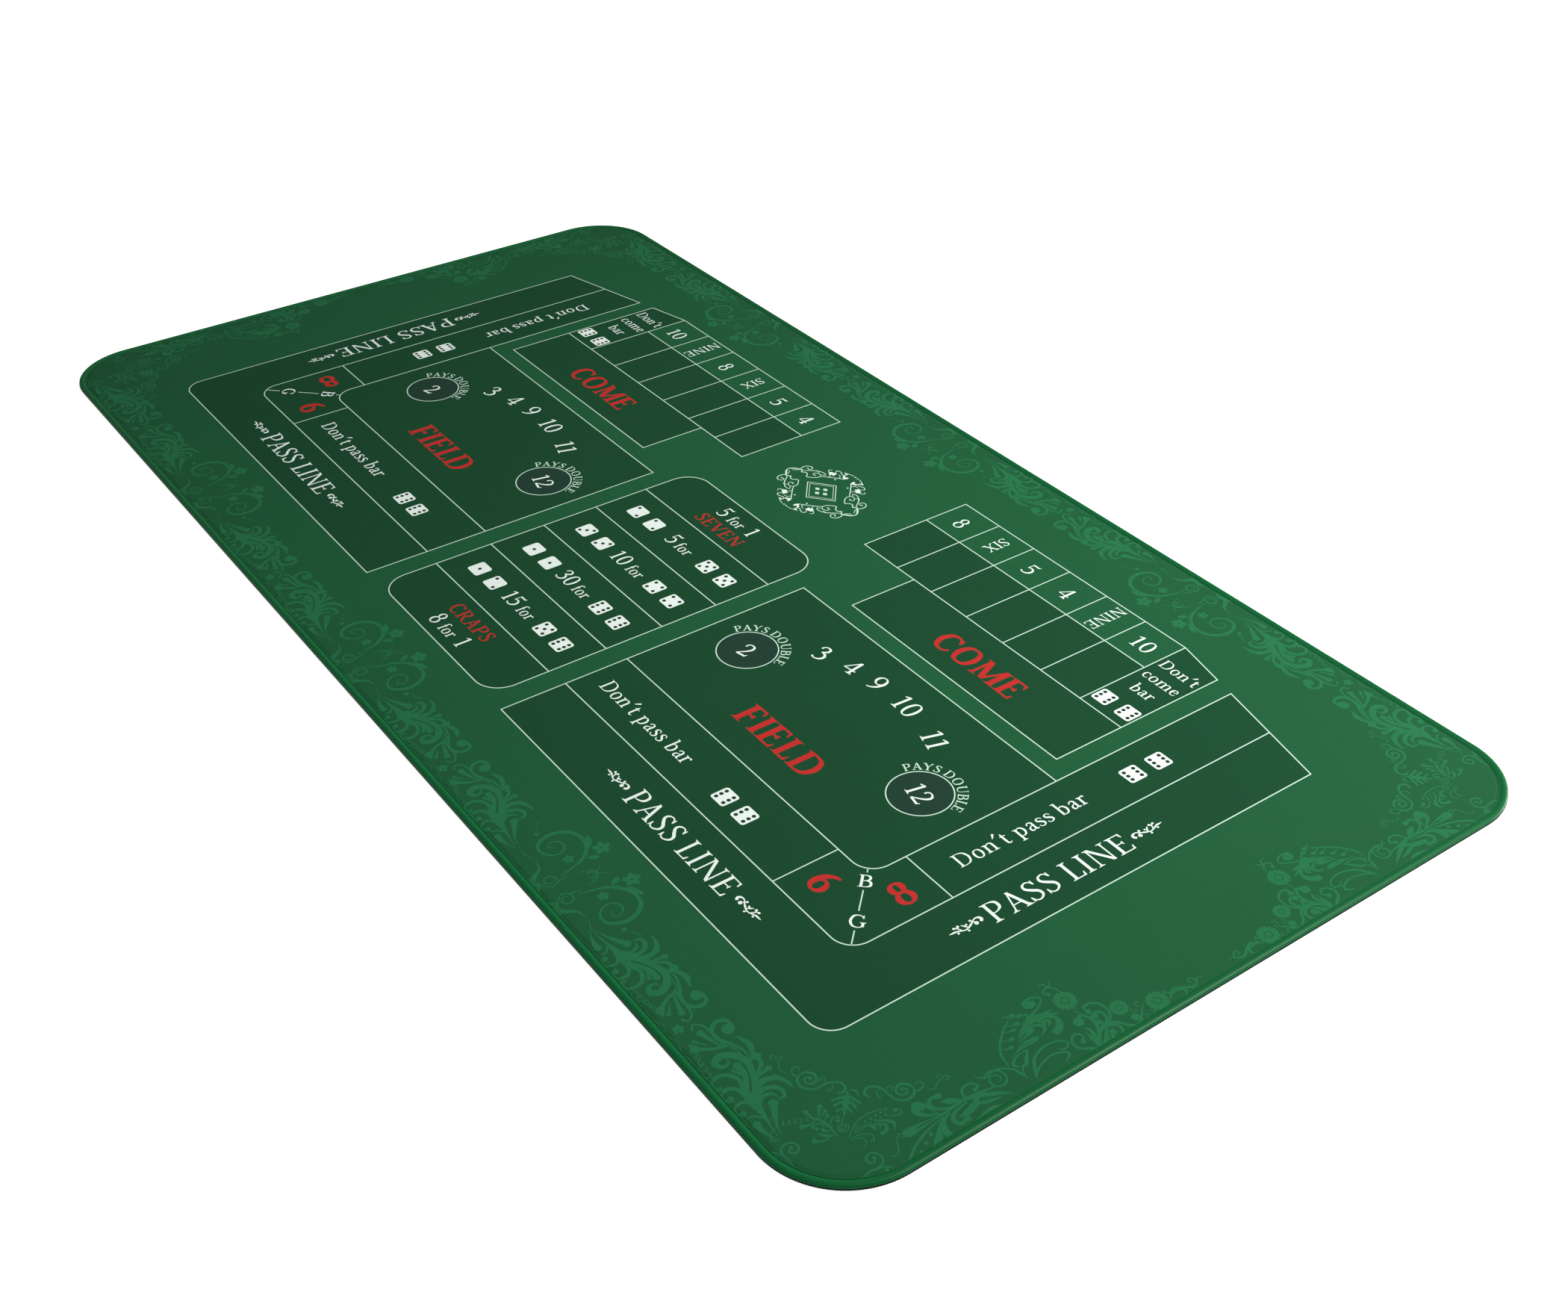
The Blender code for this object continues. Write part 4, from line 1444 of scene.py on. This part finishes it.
def press_down(inset):
    """How far the stitches squeeze the cloth at an inset from the outline."""
    share = (SQUEEZE_INNER_INSET - inset) / (SQUEEZE_INNER_INSET - SQUEEZE_OUTER_INSET)
    share = np.clip(share, 0.0, 1.0)
    return SQUEEZE * (1 - np.cos(pi * share)) / 2


def border_insets():
    """Insets of the loops on which the cloth bends down, and of its cut edge."""
    step = (SQUEEZE_OUTER_INSET - SQUEEZE_INNER_INSET) / SQUEEZE_STEPS
    insets = [SQUEEZE_INNER_INSET + step * index for index in range(SQUEEZE_STEPS + 1)]
    return insets + [CUT_EDGE_INSET]


def cut_print():
    """Cut the drawing into triangles, each of the topmost ink there: points and {piece: faces}."""
    points = []
    outlines = []
    ranks = []
    for inset in border_insets():
        loop = [(x / UNIT, y / UNIT) for x, y in inset_loop(inset)]
        outlines.append(range(len(points), len(points) + len(loop)))
        points.extend(loop)
        ranks.append(0)
    for ink, loop in drawing:
        loop = [(x + PRINT_SHIFT[0], y + PRINT_SHIFT[1]) for x, y in loop]
        if signed_area(loop) < 0:
            loop.reverse()
        outlines.append(range(len(points), len(points) + len(loop)))
        points.extend(loop)
        ranks.append(INKS.index(ink))
    net = delaunay_2d_cdt(
        [Vector(point) for point in points], [], [list(outline) for outline in outlines],
        TRIANGLES_INSIDE, CUT_TOLERANCE, True,
    )
    points, triangles, sources = net[0], net[2], net[5]
    faces = {}
    for triangle, under in zip(triangles, sources):
        top = max(ranks[source] for source in under)
        faces.setdefault(PIECE_OF_INK[INKS[top]], []).append(triangle)
    return np.array([tuple(point) for point in points]) * UNIT, faces


def make_print():
    """One piece for each ink, all parts of the cloth's upper face."""
    flat, faces_of = cut_print()
    beyond = np.abs(flat) - np.array((OUTER.x - CORNER_RADIUS, OUTER.y - CORNER_RADIUS))
    reach = np.linalg.norm(np.maximum(beyond, 0.0), axis=1) + np.minimum(beyond.max(axis=1), 0.0)
    height = FIELD_TOP - press_down(CORNER_RADIUS - reach)
    points = np.column_stack((flat, height))
    pieces = []
    for ink, albedo in ALBEDO.items():
        name = PIECE_OF_INK[ink]
        faces = np.array(faces_of[name])
        used, renumbered = np.unique(faces, return_inverse=True)
        renumbered = renumbered.reshape(-1, 3)
        piece = make_piece(
            name, cloth("cloth_" + ink, albedo), points[used].tolist(), renumbered.tolist(),
        )
        level = height[faces].min(axis=1) > FIELD_TOP - 1e-6
        piece.data.polygons.foreach_set("use_smooth", ~level)
        pieces.append(piece)
    return pieces


def make_web():
    """The cloth's own thickness, under the print."""
    top = [(inset, FIELD_TOP - INK_DEPTH - press_down(inset)) for inset in border_insets()]
    bottom = [(inset, FIELD_TOP - CLOTH_THICKNESS - press_down(inset)) for inset in border_insets()]
    loops = [inset_loop(inset) for inset, _ in top]
    points = []
    for loop, (_, height) in zip(loops, top):
        points.extend((x, y, height) for x, y in loop)
    for loop, (_, height) in zip(reversed(loops), reversed(bottom)):
        points.extend((x, y, height) for x, y in loop)
    size = len(loops[0])
    faces = [list(range(size)), list(range(len(points) - 1, len(points) - size - 1, -1))]
    for ring in range(2 * len(loops) - 1):
        for index in range(size):
            after = (index + 1) % size
            here = ring * size
            faces.append((here + index, here + size + index, here + size + after, here + after))
    material = cloth("cloth_undyed", ALBEDO["ground"])
    return make_piece("cloth_web", material, points, faces, smooth=False)


# ---------------------------------------------------------------- the sewn edge
RIB_PITCH = 0.0013
RIB_DEPTH = 0.00022
RIB_SLANT = 0.0020
UNDER_PITCH = 0.0026
UNDER_BULGE = 0.0002
STITCH = 0.0026
BEAD_WIDTH = 0.0074
BEAD_CREST_INSET = 0.0040
SIDE_THREAD = 0.0010
GROOVE_LIFT = 0.00004
BEAD_BOTTOM = FIELD_TOP - SQUEEZE + GROOVE_LIFT
UNDER_THICKNESS = 0.0004
NEEDLE_RADIUS = 0.0003
NEEDLE_PINCHED_RADIUS = 0.00024
NEEDLE_SINK = 0.00004
NEEDLE_INSET = BEAD_HIGH.x - NEEDLE_HIGH.x + NEEDLE_RADIUS


def bead_section(depth):
    """Section of the upper thread: up the edge, over the crest and down to the groove."""
    section = []
    rise = BEAD_HIGH.z - depth - BEAD_LOW.z
    for step in range(6):
        angle = step / 5 * pi / 2
        inset = depth + (BEAD_CREST_INSET - depth) * (1 - cos(angle))
        section.append((inset, BEAD_LOW.z + rise * sin(angle)))
    run = BEAD_WIDTH - depth / 2 - BEAD_CREST_INSET
    drop = BEAD_HIGH.z - depth - BEAD_BOTTOM
    for step in range(1, 5):
        share = step / 4
        fall = (1 - cos(pi * share)) / 2
        section.append((BEAD_CREST_INSET + run * share, BEAD_BOTTOM + drop * (1 - 0.9 * fall)))
    section.append((BEAD_WIDTH, BEAD_BOTTOM))
    section.append((SIDE_THREAD, BEAD_BOTTOM))
    section.append((SIDE_THREAD, BEAD_LOW.z))
    return section


def under_section(depth):
    """Section of the lower thread: down the edge and inwards under the border."""
    foot_top = UNDER_LOW.z + UNDER_THICKNESS
    section = [(SIDE_THREAD, foot_top), (SIDE_THREAD, UNDER_HIGH.z), (depth, UNDER_HIGH.z)]
    bulge = UNDER_BULGE - depth
    half_height = (UNDER_HIGH.z - UNDER_LOW.z - depth / 2) / 2
    for step in range(1, 6):
        angle = step / 6 * pi
        section.append((-bulge * sin(angle), UNDER_HIGH.z - half_height * (1 - cos(angle))))
    section.append((BEAD_WIDTH, UNDER_LOW.z + depth / 2))
    section.append((BEAD_WIDTH, foot_top))
    return section


def needle_section(radius, sunk):
    middle = FIELD_TOP - SQUEEZE + radius - sunk
    section = []
    for side in range(6):
        angle = 2 * pi * side / 6
        section.append((NEEDLE_INSET - radius * cos(angle), middle + radius * sin(angle)))
    return section


draw_print()
prints = make_print()
web = make_web()
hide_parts("printed_cloth")

green_thread = thread("overlock_thread_green", (0.002, 0.078, 0.021), 0.36, 0.09)
bead = sweep(
    "edge_stitches", "edge_thread", green_thread,
    [bead_section(0.0), bead_section(RIB_DEPTH)], round(PERIMETER / RIB_PITCH), RIB_SLANT,
)
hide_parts("upper_looper_thread")

# The lower thread is near-black and bulges out past the bead, drawing the dark line round the mat's
# foot: a real dark thread, partly standing in as painted shade at the foot.
black_thread = thread("overlock_thread_black", (0.003, 0.008, 0.005), 0.55, 0.03)
under = sweep(
    "under_stitches", "under_thread", black_thread,
    [under_section(0.0), under_section(RIB_DEPTH)], round(PERIMETER / UNDER_PITCH), -RIB_SLANT,
)
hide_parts("lower_looper_thread")

pinched = needle_section(NEEDLE_PINCHED_RADIUS, NEEDLE_SINK)
full = needle_section(NEEDLE_RADIUS, 0.0)
# This green is set lighter than the upper thread's: the thread's own colour lifted as painted light
# against the shade of the groove it lies in.
sewing_thread = thread("sewing_thread", (0.006, 0.105, 0.034), 0.5, 0.1)
needle = sweep(
    "needle_stitches", "needle_thread", sewing_thread,
    [pinched, full, full, pinched], round(PERIMETER / STITCH), 0.0,
)
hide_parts("needle_thread")

for node, material in (("rubber_base", foamed_rubber()), ("bonding_film", melted_film())):
    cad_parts[node].material_slots[0].material = material

# ---------------------------------------------------------------- floor, light and camera
FLOOR_REACH = 12.0
FLOOR_DROP = 0.0002
FLOOR_ALBEDO = (0.93, 0.93, 0.93)
FLOOR_GLOW = 0.7
SKY_STRENGTH = 0.368
CAMERA_PLACE = (1.4826, -0.8968, 1.0900)
CAMERA_DIP = 35.507
CAMERA_HEADING = 53.830
LENS = 43.853
LENS_SHIFT = -0.02539


def make_floor():
    mesh = bpy.data.meshes.new("floor")
    corners = []
    for x, y in ((-1, -1), (1, -1), (1, 1), (-1, 1)):
        corners.append((x * FLOOR_REACH, y * FLOOR_REACH, -FLOOR_DROP))
    mesh.from_pydata(corners, [], [(0, 1, 2, 3)])
    nodes = Nodes("pale_floor")
    cloud = nodes.noise(0.8, 2)
    nodes.colour(FLOOR_ALBEDO, nodes.spread(cloud, 0.98, 1.02))
    nodes.put(nodes.shader.inputs["Roughness"], nodes.spread(cloud, 0.7, 0.9))
    nodes.settings(Emission_Color=(1, 1, 1, 1), Emission_Strength=FLOOR_GLOW)
    mesh.materials.append(nodes.material)
    floor = bpy.data.objects.new("floor", mesh)
    bpy.context.scene.collection.objects.link(floor)


def hang_lamp(name, length, height, watts, location, aim):
    """An area lamp that faces the point aimed at, round when its sides are equal."""
    lamp = bpy.data.lights.new(name, "AREA")
    lamp.shape = "DISK" if length == height else "RECTANGLE"
    lamp.size = length
    lamp.size_y = height
    lamp.energy = watts
    holder = bpy.data.objects.new(name, lamp)
    holder.location = location
    holder.rotation_euler = (Vector(aim) - Vector(location)).to_track_quat("-Z", "Y").to_euler()
    bpy.context.scene.collection.objects.link(holder)


def make_light():
    """A large soft lamp over the far right of the mat, a low strip behind it, an even sky."""
    hang_lamp(
        "softbox", length=1.0, height=1.0, watts=62.0, location=(0.90, 0.94, 1.74), aim=(0, 0, 0),
    )
    hang_lamp(
        "rim_strip", length=1.2, height=0.4, watts=64.0, location=(1.25, 2.2, 0.30),
        aim=(0.8, 0.4, 0),
    )
    world = bpy.data.worlds.new("studio")
    world.use_nodes = True
    sky = world.node_tree.nodes["Background"]
    sky.inputs["Color"].default_value = (1, 1, 1, 1)
    sky.inputs["Strength"].default_value = SKY_STRENGTH
    bpy.context.scene.world = world


def make_camera():
    lens = bpy.data.cameras.new("camera")
    lens.sensor_width = 36.0
    lens.lens = LENS
    lens.shift_x = LENS_SHIFT
    camera = bpy.data.objects.new("camera", lens)
    camera.location = CAMERA_PLACE
    camera.rotation_euler = (radians(90 - CAMERA_DIP), 0, radians(CAMERA_HEADING))
    bpy.context.scene.collection.objects.link(camera)
    bpy.context.scene.camera = camera


make_floor()
make_light()
make_camera()
bpy.context.scene.view_settings.view_transform = "Standard"
